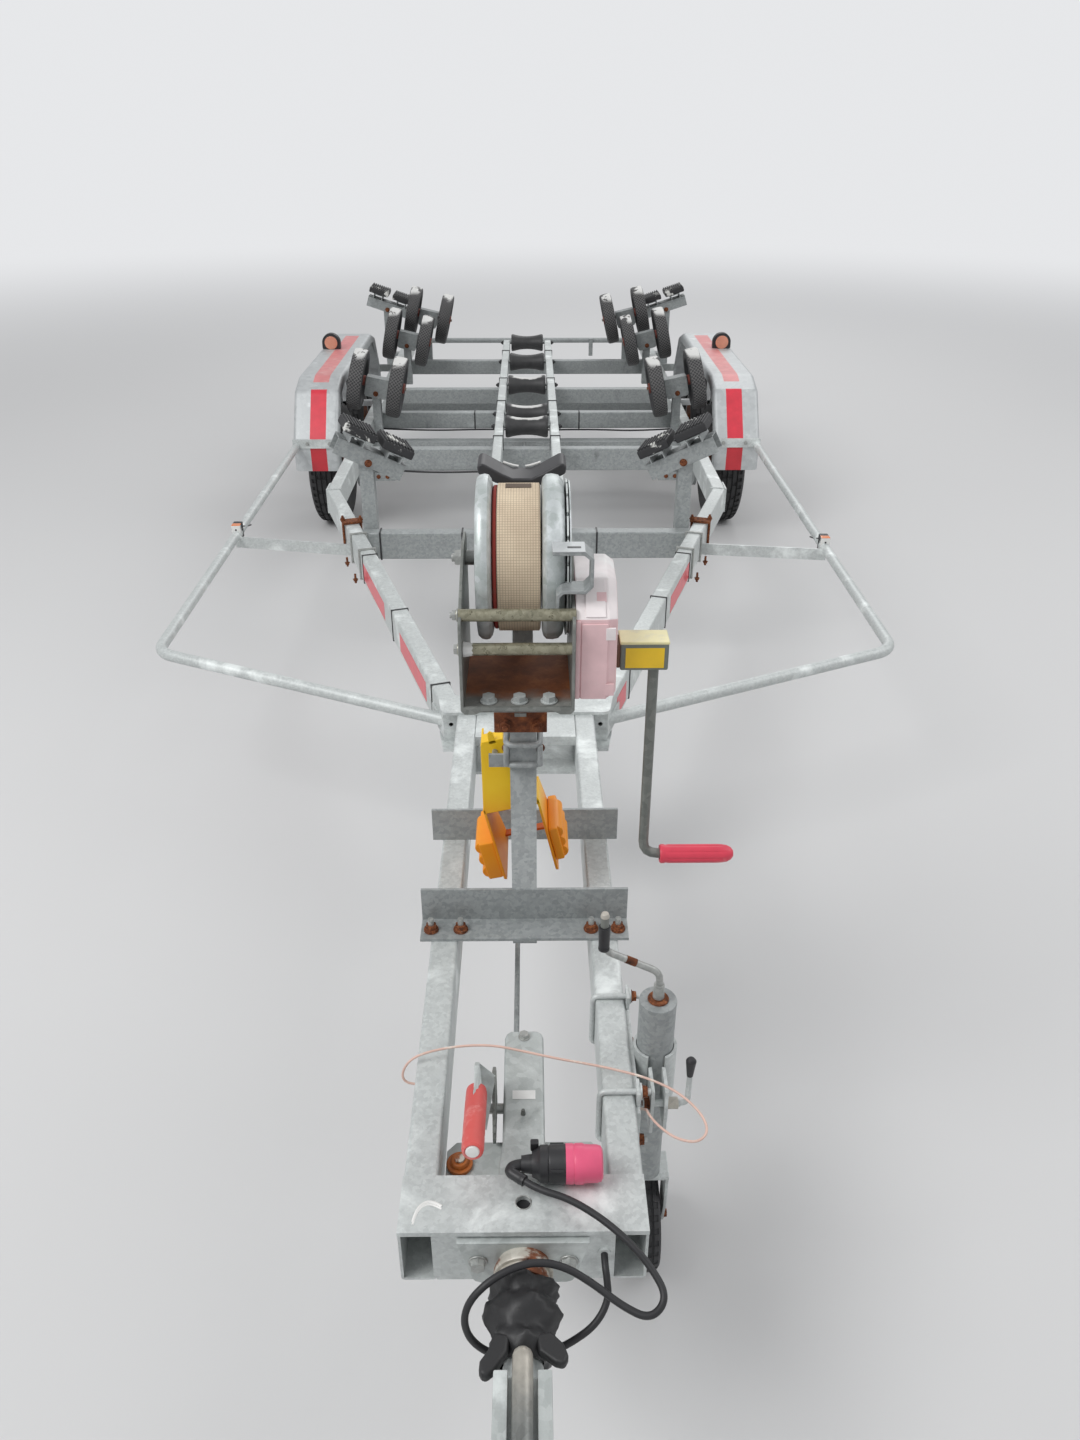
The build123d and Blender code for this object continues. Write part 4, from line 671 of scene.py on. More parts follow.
def makeRim(side, station):
    shape = bmesh.new()
    barrel = [
        (-70, 176), (-70, 170), (-62, 167), (-58, 160), (-40, 158), (-34, 146), (-6, 146), (2, 158),
        (56, 160), (62, 167), (68, 170), (70, 176),
    ]
    dish = [(2, 155), (10, 148), (22, 136), (27, 122), (27, 100), (22, 84), (12, 74), (12, 34)]
    addSpin(shape, barrel, (0, 0, 0), steps=rimValues["steps"])
    disc = spun(dish, rimValues["steps"])
    holes = []
    for face in disc.faces:
        middle, away, step = ringStep(face, rimValues["steps"])
        if 104 < away < 130 and step % 6 in (1, 2, 3):
            holes.append(face)
    bmesh.ops.delete(disc, geom=holes, context="FACES")
    joinTo(shape, disc)
    bmesh.ops.recalc_face_normals(shape, faces=shape.faces[:])
    bmesh.ops.solidify(shape, geom=shape.faces[:], thickness=3)
    addRound(shape, (-30, 0, 0), (34, 0, 0), 33, steps=40, bevel=3)
    addRound(shape, (34, 0, 0), (24, 0, 0), 28, tip=31, steps=40, bevel=2)
    for index in range(rimValues["nuts"]):
        angle = 2 * math.pi * index / rimValues["nuts"] + 0.3
        place = (12, *onCircle((0, 0), rimValues["nutCircle"], angle))
        addBolt(shape, place, (1, 0, 0), size=11, paint=1, thread=4)
    drum = [(-62, 45), (-62, 112), (-58, 116), (-6, 116), (-2, 112), (-2, 40)]
    addSpin(shape, drum, (0, 0, 0), paint=2, closed=True)
    addRound(shape, (-84, 0, 0), (16, 0, 0), 44, steps=40, bevel=3, paint=2)
    turn = Matrix.Identity(4) if side > 0 else Matrix.Rotation(math.pi, 4, "Z")
    place = Matrix.Translation((side * roadWheel["x"], station, roadWheel["height"]))
    bmesh.ops.transform(shape, matrix=place @ turn, verts=shape.verts[:])
    return shape


for sideName, side in sides:
    for end, station in roadWheel["stations"].items():
        body = f"road_wheel_{end}_{sideName}"
        tyre = finishPiece(
            f"roadTyre_{end}_{sideName}", makeTyre(side, station), body, [tyreRubber], angle=50,
        )
        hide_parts(f"tyre_{end}_{sideName}")
        rim = finishPiece(
            f"roadRim_{end}_{sideName}", makeRim(side, station), body, [rimPaint, rustyBolts, rustySteel],
        )
        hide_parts(f"rim_{end}_{sideName}")
print("road wheels made")

# Side supports: rollers with a diamond tread and ribbed pads, on frames that lean inward
support = {
    "front": (4810, 730, 683, 12, 0), "middle": (6040, 700, 676, 13, 0), "rear": (6334, 600, 750, 13, 0),
    "padFront": (3255, 568, 800, 28, 17), "padRear": (6560, 862, 795, 18, 0),
}
sideRoller = {"radius": 143, "half": 34, "spread": 95, "above": 45, "steps": 96, "cell": 17, "cells": 52}
padRubber = mouldedFinish(
    "pad rubber", (0.026, 0.026, 0.028), (0.66, 0.66, 0.63), amount=0.34, rough=0.62, scale=12.0,
    softness=0.05,
)
hubPlastic = mouldedFinish(
    "hub plastic", (0.2, 0.045, 0.03), (0.32, 0.2, 0.16), amount=0.3, rough=0.5, scale=20.0,
)


def treadRubber():
    material, tree, shader, place = startMaterial("tread rubber", 0.0)
    cells = newNode(tree, "ShaderNodeUVMap", uv_map="tread").outputs[0]
    parts = splitPlace(tree, cells)
    lines = []
    for operation in ("ADD", "SUBTRACT"):
        share = combine(tree, "FRACT", combine(tree, operation, parts["X"], parts["Y"]), 0.0)
        away = absolute(tree, combine(tree, "SUBTRACT", share, 0.5))
        lines.append(combine(tree, "SUBTRACT", 1.0, threshold(tree, away, 0.05, 0.14)))
    groove = combine(tree, "MAXIMUM", lines[0], lines[1])
    noise = noiseAt(tree, place, 40.0)
    rubber = mixTones(tree, noise, tone(0.018, 0.018, 0.02), tone(0.045, 0.045, 0.048))
    dusty = mixTones(tree, combine(tree, "MULTIPLY", groove, 0.75), rubber, tone(0.2, 0.195, 0.19))
    # Pale patches, kept only on the faces turned up
    upturnedPatches = patched(tree, place, dusty, tone(0.7, 0.7, 0.68), 13.0, 0.62, 0.04)
    faced = newNode(tree, "ShaderNodeTexCoord").outputs["Normal"]
    upward = splitPlace(tree, faced)["Z"]
    top = combine(tree, "MULTIPLY", upturnedPatches["Mask"], threshold(tree, upward, 0.72, 0.88))
    tree.links.new(mixTones(tree, top, dusty, tone(0.7, 0.7, 0.68)), shader.inputs["Base Color"])
    shader.inputs["Roughness"].default_value = 0.62
    addBump(tree, shader, combine(tree, "SUBTRACT", 1.0, groove), 0.7, 0.0025)
    return material


treadMaterial = treadRubber()


def leaning(name, side):
    station, x, height, lean, turned = support[name]
    lean = Matrix.Rotation(-side * math.radians(lean), 4, "Y")
    turn = Matrix.Rotation(-side * math.radians(turned), 4, "Z")
    return Matrix.Translation((side * x, station, height)) @ turn @ lean


def addSideRoller(shape, along):
    half, radius = sideRoller["half"], sideRoller["radius"]
    crown = radius - 0.8
    profile = [
        (-16, 20), (-16, 94), (-half + 2, 104), (-half, 112), (-half, 128), (-half + 3, crown - 5),
        (-half + 10, crown - 1),
    ]
    profile += [(-half + 21, crown), (-half + 31, crown + 0.4)]
    roller = spun(mirrored(profile), sideRoller["steps"])
    cells = roller.loops.layers.uv.new("tread")
    for face in roller.faces:
        middle = face.calc_center_median()
        if math.hypot(middle.y, middle.z) < crown - 9:
            continue
        around = math.atan2(middle.z, middle.y)
        for loop in face.loops:
            place = loop.vert.co
            turned = (math.atan2(place.z, place.y) - around + math.pi) % (2 * math.pi) - math.pi + around
            loop[cells].uv = (place.x / sideRoller["cell"], sideRoller["cells"] * turned / (2 * math.pi))
    joinTo(shape, roller, 0, Matrix.Translation((along, 0, sideRoller["above"])))


for sideName, side in sides:
    for place in ("front", "middle", "rear"):
        shape = bmesh.new()
        for along in (-sideRoller["spread"], sideRoller["spread"]):
            addSideRoller(shape, along)
            addRound(shape, (along - 37, 0, 45), (along + 37, 0, 45), 24, steps=28, bevel=2, paint=1)
            outward = 1 if along > 0 else -1
            addBolt(shape, (along + outward * 37, 0, 45), (outward, 0, 0), size=9, paint=2)
        addRound(shape, (-133, 0, 45), (133, 0, 45), 8, steps=20, paint=2)
        roller = finishPiece(
            f"sideRollers_{place}_{sideName}", shape, f"wheel_pair_{place}_{sideName}",
            [treadMaterial, hubPlastic, zincRusty], local=leaning(place, side),
        )
        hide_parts(f"wheel_pair_{place}_{sideName}")
print("side rollers made")

padRibs = {"count": 9, "rib": 7, "high": 5}
padFlanges = {"Front": 39.2, "Rear": 33}
for sideName, side in sides:
    for place in ("Front", "Rear"):
        shape = bmesh.new()
        for along in (-72, 72):
            addBox(shape, (along, 0, 89.5), (118, 148, 31), bevel=6)
            for index in range(padRibs["count"]):
                across = along - 50 + 100 * index / (padRibs["count"] - 1)
                addBox(shape, (across, 0, 106), (padRibs["rib"], 142, 2 * padRibs["high"]), bevel=1.8)
            addBox(shape, (along, 0, 71), (55, 140, 4), bevel=1, paint=1)
            for across in (-25.5, 25.5):
                addBox(shape, (along + across, 0, 59), (4, 140, 28), bevel=1, paint=1)
        flange = padFlanges[place]
        for end in (-1, 1):
            addBox(shape, (0, end * flange, 15), (260, 4, 60), bevel=1.2, paint=1)
            addBolt(shape, (0, (flange + 2) * end, 0), (0, end, 0), size=13, paint=2, thread=4)
        addBox(shape, (0, 0, 43), (260, 2 * flange + 4, 4), bevel=1.2, paint=1)
        pads = finishPiece(
            f"ribbedPads_{place}_{sideName}", shape, f"pad_rocker_{place.lower()}_{sideName}",
            [padRubber, zincDull, rustyBolts], local=leaning("pad" + place, side),
        )
        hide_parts(f"pad_rocker_{place.lower()}_{sideName}")
print("pads made")

# Chassis tubes keep their places and get rounded edges
tubeEdges = {"radius": 5.5, "longer": 300, "plateRadius": 1.6}


def roundedCopy(name, node, materials, radius, longer=0, body="chassis"):
    shape = bmesh.new()
    shape.from_mesh(nodes[node].data)
    bmesh.ops.transform(shape, matrix=toFrame.inverted() @ nodes[node].matrix_world, verts=shape.verts[:])
    bmesh.ops.remove_doubles(shape, verts=shape.verts[:], dist=0.01)
    bmesh.ops.dissolve_limit(shape, angle_limit=0.02, verts=shape.verts[:], edges=shape.edges[:])
    sharp = []
    for edge in shape.edges:
        outer = edge.is_manifold and edge.is_convex
        if outer and edge.calc_face_angle(0) > 0.6 and edge.calc_length() > longer:
            sharp.append(edge)
    bmesh.ops.bevel(
        shape, geom=sharp, offset=radius, segments=3, profile=0.5, affect="EDGES", clamp_overlap=True,
        material=-1,
    )
    piece = finishPiece(name, shape, body, materials, closed=False)
    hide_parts(node)
    return piece


roundedCopy("drawbarTubes", "drawbar_rails", [zincPale], tubeEdges["radius"], tubeEdges["longer"])
roundedCopy("armTubes", "chassis_sides", [zincPale], tubeEdges["radius"], tubeEdges["longer"])
roundedCopy("memberTubes", "cross_members", [zincDull], tubeEdges["radius"], tubeEdges["longer"])
roundedCopy("keelTubes", "keel_ladder", [zincPale], 4.5, tubeEdges["longer"])
roundedCopy("drawbarPlateSet", "drawbar_plates", [zincPale], tubeEdges["plateRadius"], 20)
roundedCopy("postAndAngles", "winch_post", [zincDull], 1.4, 40)
print("tubes rounded")


# A bent path with its corners rounded
def rounded(points, radius, steps=4):
    points = [Vector(place) for place in points]
    path = [points[0]]
    for before, here, after in zip(points, points[1:], points[2:]):
        start = here + (before - here).normalized() * radius
        end = here + (after - here).normalized() * radius
        for step in range(steps + 1):
            share = step / steps
            path.append(start.lerp(here, share).lerp(here.lerp(end, share), share))
    return path + [points[-1]]


def addBent(shape, points, radius, bend, paint=0, ring=3):
    return addRod(shape, rounded(points, bend), radius, paint=paint, smooth=False, ring=ring)


# A band round a box section that runs along Y, turned about the vertical
def addBand(shape, centre, section, band, paint=0, angle=0.0):
    wide, high = section
    along, thick = band
    turn = Matrix.Rotation(angle, 4, "Z")
    for x, z, size in (
        (0, high / 2 + thick / 2, (wide + 2 * thick, along, thick)), (
            0, -high / 2 - thick / 2, (wide + 2 * thick, along, thick),
        ),
        (wide / 2 + thick / 2, 0, (thick, along, high)), (-wide / 2 - thick / 2, 0, (thick, along, high)),
    ):
        offset = turn @ Vector((x, 0, z))
        addBox(shape, Vector(centre) + offset, size, bevel=0.3 * thick, paint=paint, turn=turn)


# Arms: red bands on their outer faces, ties, clamps and the gussets at the bends
armLine = {"front": 1884, "frontX": 186.7, "bend": 3692, "bendX": 775, "half": 25}
armAngle = math.atan2(armLine["bendX"] - armLine["frontX"], armLine["bend"] - armLine["front"])
armBands = {"right": ((1975, 2075), (2655, 2956)), "left": ((2070, 2390), (2612, 2971))}
# The keel rollers' worn count is the front rollers that are white along the top, part wear, part painted
# highlight
keelRollers = {"stations": (4470, 4700, 5320, 5910, 6490), "height": 605, "worn": 3}
armClamps = {"near": (3010, 3169), "far": 3295}
armTies = {"right": (2120, 2590, 2970), "left": (2010, 2500, 2964)}
bandZ = {"low": 468, "high": 528}
redTape = mouldedFinish(
    "red reflective film", (0.66, 0.03, 0.055), (0.6, 0.14, 0.15), amount=0.15, rough=0.35, scale=22.0,
    coat=0.3,
)
darkTape = mouldedFinish(
    "dark red film", (0.5, 0.018, 0.03), (0.3, 0.08, 0.08), amount=0.25, rough=0.35, scale=22.0, coat=0.3,
)
pinkTape = mouldedFinish(
    "faded pink film", (0.62, 0.22, 0.22), (0.66, 0.36, 0.35), amount=0.5, rough=0.45, scale=14.0,
)
whiteTape = mouldedFinish(
    "white film", (0.74, 0.74, 0.72), (0.55, 0.54, 0.5), amount=0.3, rough=0.4, scale=25.0,
)
blackPlastic = mouldedFinish(
    "black plastic", (0.022, 0.022, 0.024), (0.08, 0.078, 0.075), amount=0.2, rough=0.42, scale=18.0,
)
boltZinc = zincFinish(
    "bolt zinc", (0.3, 0.31, 0.3), (0.48, 0.49, 0.47), metal=0.5, rough=0.4, grime=0.3, rust=0.12,
    size=0.006,
)


def armPlace(side, station, across=0, z=505):
    middle = armLine["frontX"] + (station - armLine["front"]) * math.tan(armAngle)
    reach = across / math.cos(armAngle)
    return Vector((side * (middle + reach), station, z))


shape = bmesh.new()
for sideName, side in sides:
    turn = Matrix.Rotation(-side * armAngle, 4, "Z")
    for start, end in armBands[sideName]:
        middle = armPlace(side, (start + end) / 2, armLine["half"] + 0.3, (bandZ["low"] + bandZ["high"]) / 2)
        length = (end - start) / math.cos(armAngle)
        addBox(shape, middle, (0.6, length, bandZ["high"] - bandZ["low"]), turn=turn)
    for station in armTies[sideName]:
        addBand(shape, armPlace(side, station), (50, 100), (6, 2.2), paint=1, angle=-side * armAngle)
    for station in armClamps["near"]:
        addBand(shape, armPlace(side, station), (50, 100), (8, 7), paint=2, angle=-side * armAngle)
        for across in (-18, 18):
            place = armPlace(side, station, across + 28 * (1 if across > 0 else -1), 455)
            addRound(shape, place + Vector((0, 0, -22)), place + Vector((0, 0, 12)), 4, steps=12, paint=3)
            addBolt(shape, place + Vector((0, 0, -7)), (0, 0, -1), size=9, paint=3)
    plate = armPlace(side, armClamps["far"], 0, 560)
    addBox(shape, plate, (74, 44, 9), bevel=1.5, paint=3, turn=turn)
    addBox(shape, plate - Vector((0, 0, 110)), (74, 44, 8), bevel=1.5, paint=3, turn=turn)
    for across in (-31, 31):
        place = armPlace(side, armClamps["far"], across, 565)
        addRound(shape, place - Vector((0, 0, 128)), place, 5, steps=12, paint=3)
        addBolt(shape, place, (0, 0, 1), size=10, paint=3, thread=8)
    bend = [(side * x, station) for x, station in ((800, 3690), (806.5, 3694), (806.5, 3778), (800, 3788))]
    addPrism(shape, bend, 456, 554, axis="z", bevel=1, paint=4)
    addRod(shape, [(side * 783.5, 3684, 556), (side * 800, 3692, 556.5), (side * 801, 3692, 530)], 3, paint=4)
    addRod(shape, [(side * 742, 3700, 556), (side * 770, 3692, 556.5), (side * 799, 3690, 556)], 2.6, paint=4)
    root = armPlace(side, 1952, 27, 500)
    addBox(shape, root, (7, 66, 30), bevel=2, paint=4, turn=turn)
    addBolt(shape, armPlace(side, 1940, 31, 500), (side, -0.33, 0), size=10, paint=3, thread=4)
finishPiece("armFittings", shape, "chassis", [redTape, blackPlastic, boltZinc, rustyBolts, zincPale])

# Ties round the front beam and a member, cables under them, and bolts of the clamps
shape = bmesh.new()
for x in (-529, -232, 255):
    addBand(shape, (x, 3205, 505), (50, 100), (6, 2.2), angle=math.pi / 2)
for x in (-262, 262):
    addBand(shape, (x, 4957, 515), (50, 80), (6, 2.2), angle=math.pi / 2)
cableDrops = (
    [
        (-560, 3236, 462), (-400, 3238, 452), (-150, 3236, 456), (120, 3238, 448), (380, 3237, 452),
        (585, 3234, 464),
    ],
    [
        (-735, 4926, 478), (-500, 4928, 466), (-220, 4926, 474), (60, 4928, 468), (330, 4926, 472),
        (560, 4928, 462), (735, 4926, 474),
    ],
    [(-735, 4270, 470), (-520, 4268, 452), (-300, 4270, 449), (-120, 4269, 456)],
)
for route in cableDrops:
    addRod(shape, route, 4)
for side in (-1, 1):
    addBox(shape, (side * 650, 4275, 433), (110, 44, 36), bevel=3, paint=1)
    for x in (630, 670):
        addBolt(shape, (side * x, 4250, 436), (0, -1, 0), size=9, paint=2, thread=3)
addBox(shape, (420, 6905, 500), (26, 16, 110), bevel=2, paint=1)
for x in (-127, 127):
    for station in (3205, 4300, 4957, 5470, 6220):
        addBand(shape, (x, station - 34, 585), (41, 61), (8, 3))
    for station in keelRollers["stations"]:
        out = 1 if x > 0 else -1
        addBolt(shape, (out * 147, station, keelRollers["height"]), (out, 0, 0), size=13, paint=3, thread=6)
finishPiece("memberFittings", shape, "chassis", [blackPlastic, zincDull, rustyBolts, blackRubber])

# Drawbar: bolts through both angles, U bolts, the smear of white paint on the front plate and a dark disc of
# painted shade in its hole
shape = bmesh.new()
for station in (1012, 1338):
    for x in (-174, -119, 124, 174):
        addRound(shape, (x, station, 561), (x, station, 564), 14, steps=24, bevel=1)
        addBolt(shape, (x, station, 564), (0, 0, 1), size=12.5)
        addRound(shape, (x, station, 572), (x, station, 588), 5.5, steps=14, bevel=1, paint=1)
for station in (630, 838):
    addBent(
        shape, [(198, station, 560), (118.5, station, 560), (118.5, station, 450), (198, station, 450)],
        4.8, 12, paint=2,
    )
    for z in (450, 560):
        addRound(shape, (181, station, z), (184, station, z), 13, steps=20, paint=2)
        addBolt(shape, (184, station, z), (1, 0, 0), size=10.5)
    addBox(shape, (178, station, 505), (6, 34, 132), bevel=1.5, paint=2)
for z in (905, 945):
    addBent(shape, [(-29, 1110, z), (-29, 1040, z), (29, 1040, z), (29, 1110, z)], 5.5, 14, paint=4)
    for x in (-29, 29):
        addBolt(shape, (x, 1097, z), (0, 1, 0), size=9)
plateHole = (0, 432.5)
ring = [(*onCircle(plateHole, 11, step * math.pi / 12), 563.1) for step in range(25)]
addRod(shape, ring, 1.1, paint=1, smooth=False, ring=2)
smear = [(-152, 404, 563.2), (-150, 420, 563.2), (-140, 434, 563.2), (-127, 436, 563.2), (-114, 428, 563.2)]
for offset, size in ((0, 2.6), (4, 2.0)):
    addRod(shape, [(x, station - offset, 562) for x, station, _ in smear], size, paint=3, ring=2)
for x in (-29, 29):
    addRound(shape, (x, 1040, 905), (x, 1040, 945), 5, steps=16, paint=4)
# Painted shade: a dark plastic disc just under the plate's hole stands in for the shade inside the hole
addRound(shape, (*plateHole, 553.4), (*plateHole, 554.8), 15, paint=5)
finishPiece(
    "drawbarFittings", shape, "chassis",
    [rustyBolts, boltZinc, zincPale, whiteTape, zincDull, blackPlastic],
)
print("fittings made")

# Mudguards: folded sheet with turned-down edges, and red and faded bands along them
mudguard = {"stay": 5360, "inner": 885, "outer": 1100, "lip": 45, "edge": 20, "sheet": 3}
guardPath = (
    (4520, 382), (4520, 470), (4520, 500), (4522, 514), (4530, 531), (4664, 708), (4675, 720), (4685, 726),
    (4750, 745), (4800, 759), (4812, 762.5), (4826, 764), (4841, 764.5), (5433, 764.5), (5439, 764.5), (
        5833, 764.5,
    ),
    (5879, 764.5), (5894, 764), (5908, 762.5), (5920, 759), (6035, 726), (6045, 720), (6056, 708), (
        6190, 531,
    ),
    (6198, 514), (6200, 500), (6200, 382),
)
guardBands = {"dark": 2, "red": 7, "pinkStart": 8, "joint": 13, "pinkEnd": 15}


def makeMudguard(side):
    shape = bmesh.new()
    half = (mudguard["outer"] - mudguard["inner"]) / 2
    edge = mudguard["edge"]
    rim = [
        (-half, mudguard["lip"]), (-half, edge), (-half + 0.13 * edge, 0.5 * edge),
        (-half + 0.5 * edge, 0.13 * edge), (-half + edge, 0),
    ]
    profile = rim + [(-47.5, 0), (27.5, 0)] + mirrored(rim)[len(rim):]
    rows = []
    for index, (station, z) in enumerate(guardPath):
        before = Vector(guardPath[max(index - 1, 0)])
        after = Vector(guardPath[min(index + 1, len(guardPath) - 1)])
        along = (after - before).normalized()
        inward = Vector((along.y, -along.x))
        middle = mudguard["inner"] + half
        rows.append([
            shape.verts.new((side * (middle + across), station + inward.x * deep, z + inward.y * deep))
            for across, deep in profile
        ])
    for row, (first, second) in enumerate(zip(rows, rows[1:])):
        for column in range(len(profile) - 1):
            corners = (first[column], first[column + 1], second[column + 1], second[column])
            face = shape.faces.new(corners if side > 0 else corners[::-1])
            if column == len(rim):
                if row < guardBands["dark"]:
                    face.material_index = 1
                elif row < guardBands["red"]:
                    face.material_index = 2
                elif guardBands["pinkStart"] <= row < guardBands["pinkEnd"] and row != guardBands["joint"]:
                    face.material_index = 3
    bmesh.ops.recalc_face_normals(shape, faces=shape.faces[:])
    top = Vector((side * 990, 5600, guardPath[15][1]))
    topFace = min(shape.faces, key=lambda face: (face.calc_center_median() - top).length)
    if topFace.normal.z < 0:
        bmesh.ops.reverse_faces(shape, faces=shape.faces[:])
    bmesh.ops.solidify(shape, geom=shape.faces[:], thickness=mudguard["sheet"])
    return shape


shape = bmesh.new()
for sideName, side in sides:
    joinTo(shape, makeMudguard(side))
    addBox(shape, (side * 897.5, mudguard["stay"], 505), (195, 30, 30), bevel=3)
    addBox(shape, (side * 980, mudguard["stay"], 626), (30, 30, 272), bevel=3)
    for station in (4514, 6206):
        out = -1 if station < 5000 else 1
        for x in (926, 1030):
            addBolt(shape, (side * x, station, 513), (0, out, 0), size=8.5, paint=4, thread=2)
guards = finishPiece(
    "mudguardPair", shape, "chassis", [zincSheet, darkTape, redTape, pinkTape, boltZinc], closed=False,
)
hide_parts("mudguards")
print("mudguards made")

# Lamps: round markers in dark housings, and boxes clipped to the guard tubes
lampLens = mouldedFinish(
    "faded amber lens", (0.62, 0.25, 0.16), (0.66, 0.38, 0.3), amount=0.4, rough=0.18, scale=20.0, coat=0.6,
)
lampWhite = mouldedFinish(
    "white lens", (0.72, 0.72, 0.7), (0.6, 0.6, 0.57), amount=0.3, rough=0.2, scale=24.0, coat=0.5,
)
lampOrange = mouldedFinish(
    "orange lens", (0.72, 0.2, 0.05), (0.66, 0.34, 0.2), amount=0.35, rough=0.2, scale=24.0, coat=0.5,
)
sideLamps = {"x": 1083, "right": 3187, "left": 3340}
shape = bmesh.new()
for sideName, side in sides:
    x = side * 1040
    outline = [(x - 48, 766), (x + 48, 766), (x + 48, 796)]
    outline += [onCircle((x, 796), 48, step * math.pi / 16) for step in range(1, 16)]
    outline += [(x - 48, 796)]
    addPrism(shape, outline, 5450, 5484, axis="y", bevel=3)
    for start, end, radius, tip, paint in (
        (5451, 5446, 40, 38, 0), (5449, 5443, 36, 32, 1), (5444, 5441, 31.9, 22, 1),
    ):
        addRound(shape, (x, start, 797), (x, end, 797), radius, tip=tip, steps=40, bevel=0.8, paint=paint)
    x, station = side * sideLamps["x"], sideLamps[sideName]
    addBox(shape, (x, station + 8, 528), (33, 32, 20), bevel=3)
    addBox(shape, (x, station - 17, 520), (33, 15, 36), bevel=3, paint=2)
    addBox(shape, (x, station - 12, 536), (32, 24, 5), bevel=2, paint=3)
    addRound(shape, (x, station - 25, 520), (x, station - 24, 520), 3.5, steps=16)
    addBand(shape, (x, station + 12, 505), (30, 42), (10, 2))
    addRod(
        shape,
        [(side * 1072, station + 20, 522), (side * 1070, station + 60, 502), (side * 1066, station + 130, 486)],
        2.5,
    )
lamps = finishPiece("lampSet", shape, "chassis", [blackPlastic, lampLens, lampWhite, lampOrange])
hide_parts("lamps")
print("lamps made")


# Keel rollers: concave rubber, the front three white along the top from wear and painted highlight
def sheenAndWearRubber(name, strength):
    material, tree, shader, place = startMaterial(name, 0.0)
    noise = noiseAt(tree, place, 30.0, 5.0)
    across = splitPlace(tree, place)["X"]
    away = absolute(tree, across)
    faced = newNode(tree, "ShaderNodeTexCoord").outputs["Normal"]
    upward = splitPlace(tree, faced)["Z"]
    upward = combine(
        tree, "ADD", upward, combine(tree, "MULTIPLY", combine(tree, "SUBTRACT", noise, 0.5), 0.25),
    )
    # Wear and painted highlight: the white falls only on faces turned up
    top = threshold(tree, upward, 0.84, 0.92)
    inside = combine(
        tree, "SUBTRACT", 1.0,
        threshold(tree, combine(tree, "ADD", away, combine(tree, "MULTIPLY", noise, 0.03)), 0.08, 0.095),
    )
    worn = combine(tree, "MULTIPLY", combine(tree, "MULTIPLY", top, inside), strength)
    base = mixTones(tree, noise, tone(0.02, 0.02, 0.022), tone(0.055, 0.055, 0.055))
    tree.links.new(mixTones(tree, worn, base, tone(0.62, 0.62, 0.6)), shader.inputs["Base Color"])
    shader.inputs["Roughness"].default_value = 0.5
    addBump(tree, shader, noiseAt(tree, place, 260.0, 2.0), 0.3, 0.0004)
    return material


keelRubber = sheenAndWearRubber("keel rubber", 0.0)
keelWearAndSheen = sheenAndWearRubber("keel rubber with wear and painted highlight", 0.95)
for index, station in enumerate(keelRollers["stations"], 1):
    shape = bmesh.new()
    curve = [
        (-98, 16), (-98, 44), (-95, 49), (-90, 50), (-82, 49), (-68, 45.5), (-48, 41.5), (-24, 38.8),
        (0, 38),
    ]
    addSpin(shape, mirrored(curve), (0, station, keelRollers["height"]), steps=56)
    for end in (-1, 1):
        addRound(
            shape, (end * 97, station, keelRollers["height"]), (end * 90, station, keelRollers["height"]),
            16, tip=12, steps=24, paint=1,
        )
    # The front rollers get the white of wear and painted highlight along the top
    worn = keelWearAndSheen if index <= keelRollers["worn"] else keelRubber
    roller = finishPiece(f"keelRoller_{index}", shape, f"keel_roller_{index}", [worn, zincRusty])
    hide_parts(f"keel_roller_{index}")
print("keel rollers made")

# Rockers of the side rollers: folded plates with rounded corners and the pins' bolts
rocker = {"half": 54, "low": -20, "high": 70, "reach": 30, "sheet": 4, "corner": 12}
for sideName, side in sides:
    for place in ("front", "middle", "rear"):
        shape = bmesh.new()
        half, low, corner, reach = rocker["half"], rocker["low"], rocker["corner"], rocker["reach"]
        outline = [(-half, rocker["high"]), (-half, low + corner), (-half + 0.3 * corner, low + 0.3 * corner)]
        outline = mirrored(outline + [(-half + corner, low)])
        for end in (-1, 1):
            addPrism(shape, outline, end * (reach - rocker["sheet"]), end * reach, axis="y", bevel=1)
            addBolt(shape, (0, end * reach, 0), (0, end, 0), size=12, paint=1, thread=6)
        addBox(shape, (0, 0, 72), (108, 60, 4), bevel=1.2)
        for end in (-1, 1):
            addBox(shape, (end * 52, 0, 52), (4, 56, 40), bevel=1)
        piece = finishPiece(
            f"rockerPlates_{place}_{sideName}", shape, f"rocker_{place}_{sideName}", [zincDull, rustyBolts],
            local=leaning(place, side),
        )
        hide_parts(f"rocker_{place}_{sideName}")
print("rockers made")

# Winch: a folded frame with two rods, the drum with its ratchet plate, and the pawl's bracket
winch = {
    "x": -6.5, "half": 87.5, "station": 1083, "z": 1270, "rodStation": 925, "rods": (1240, 1184),
    "teeth": 20,
}
drumAxis = (winch["station"], winch["z"])
crankAxis = (970, 1160)
winchSteel = zincFinish(
    "winch steel", (0.16, 0.17, 0.16), (0.28, 0.29, 0.27), metal=0.4, rough=0.45, pale=0.2, grime=0.35,
    rust=0.1,
)
rodZinc = zincFinish(
    "yellow zinc", (0.2, 0.19, 0.13), (0.42, 0.4, 0.3), metal=0.6, rough=0.33, pale=0.3, grime=0.45,
    rust=0.14, size=0.006,
)
flangeZinc = zincFinish(
    "drum zinc", (0.38, 0.43, 0.41), (0.6, 0.63, 0.64), metal=0.35, rough=0.42, pale=0.5, grime=0.2,
    rust=0.05,
)


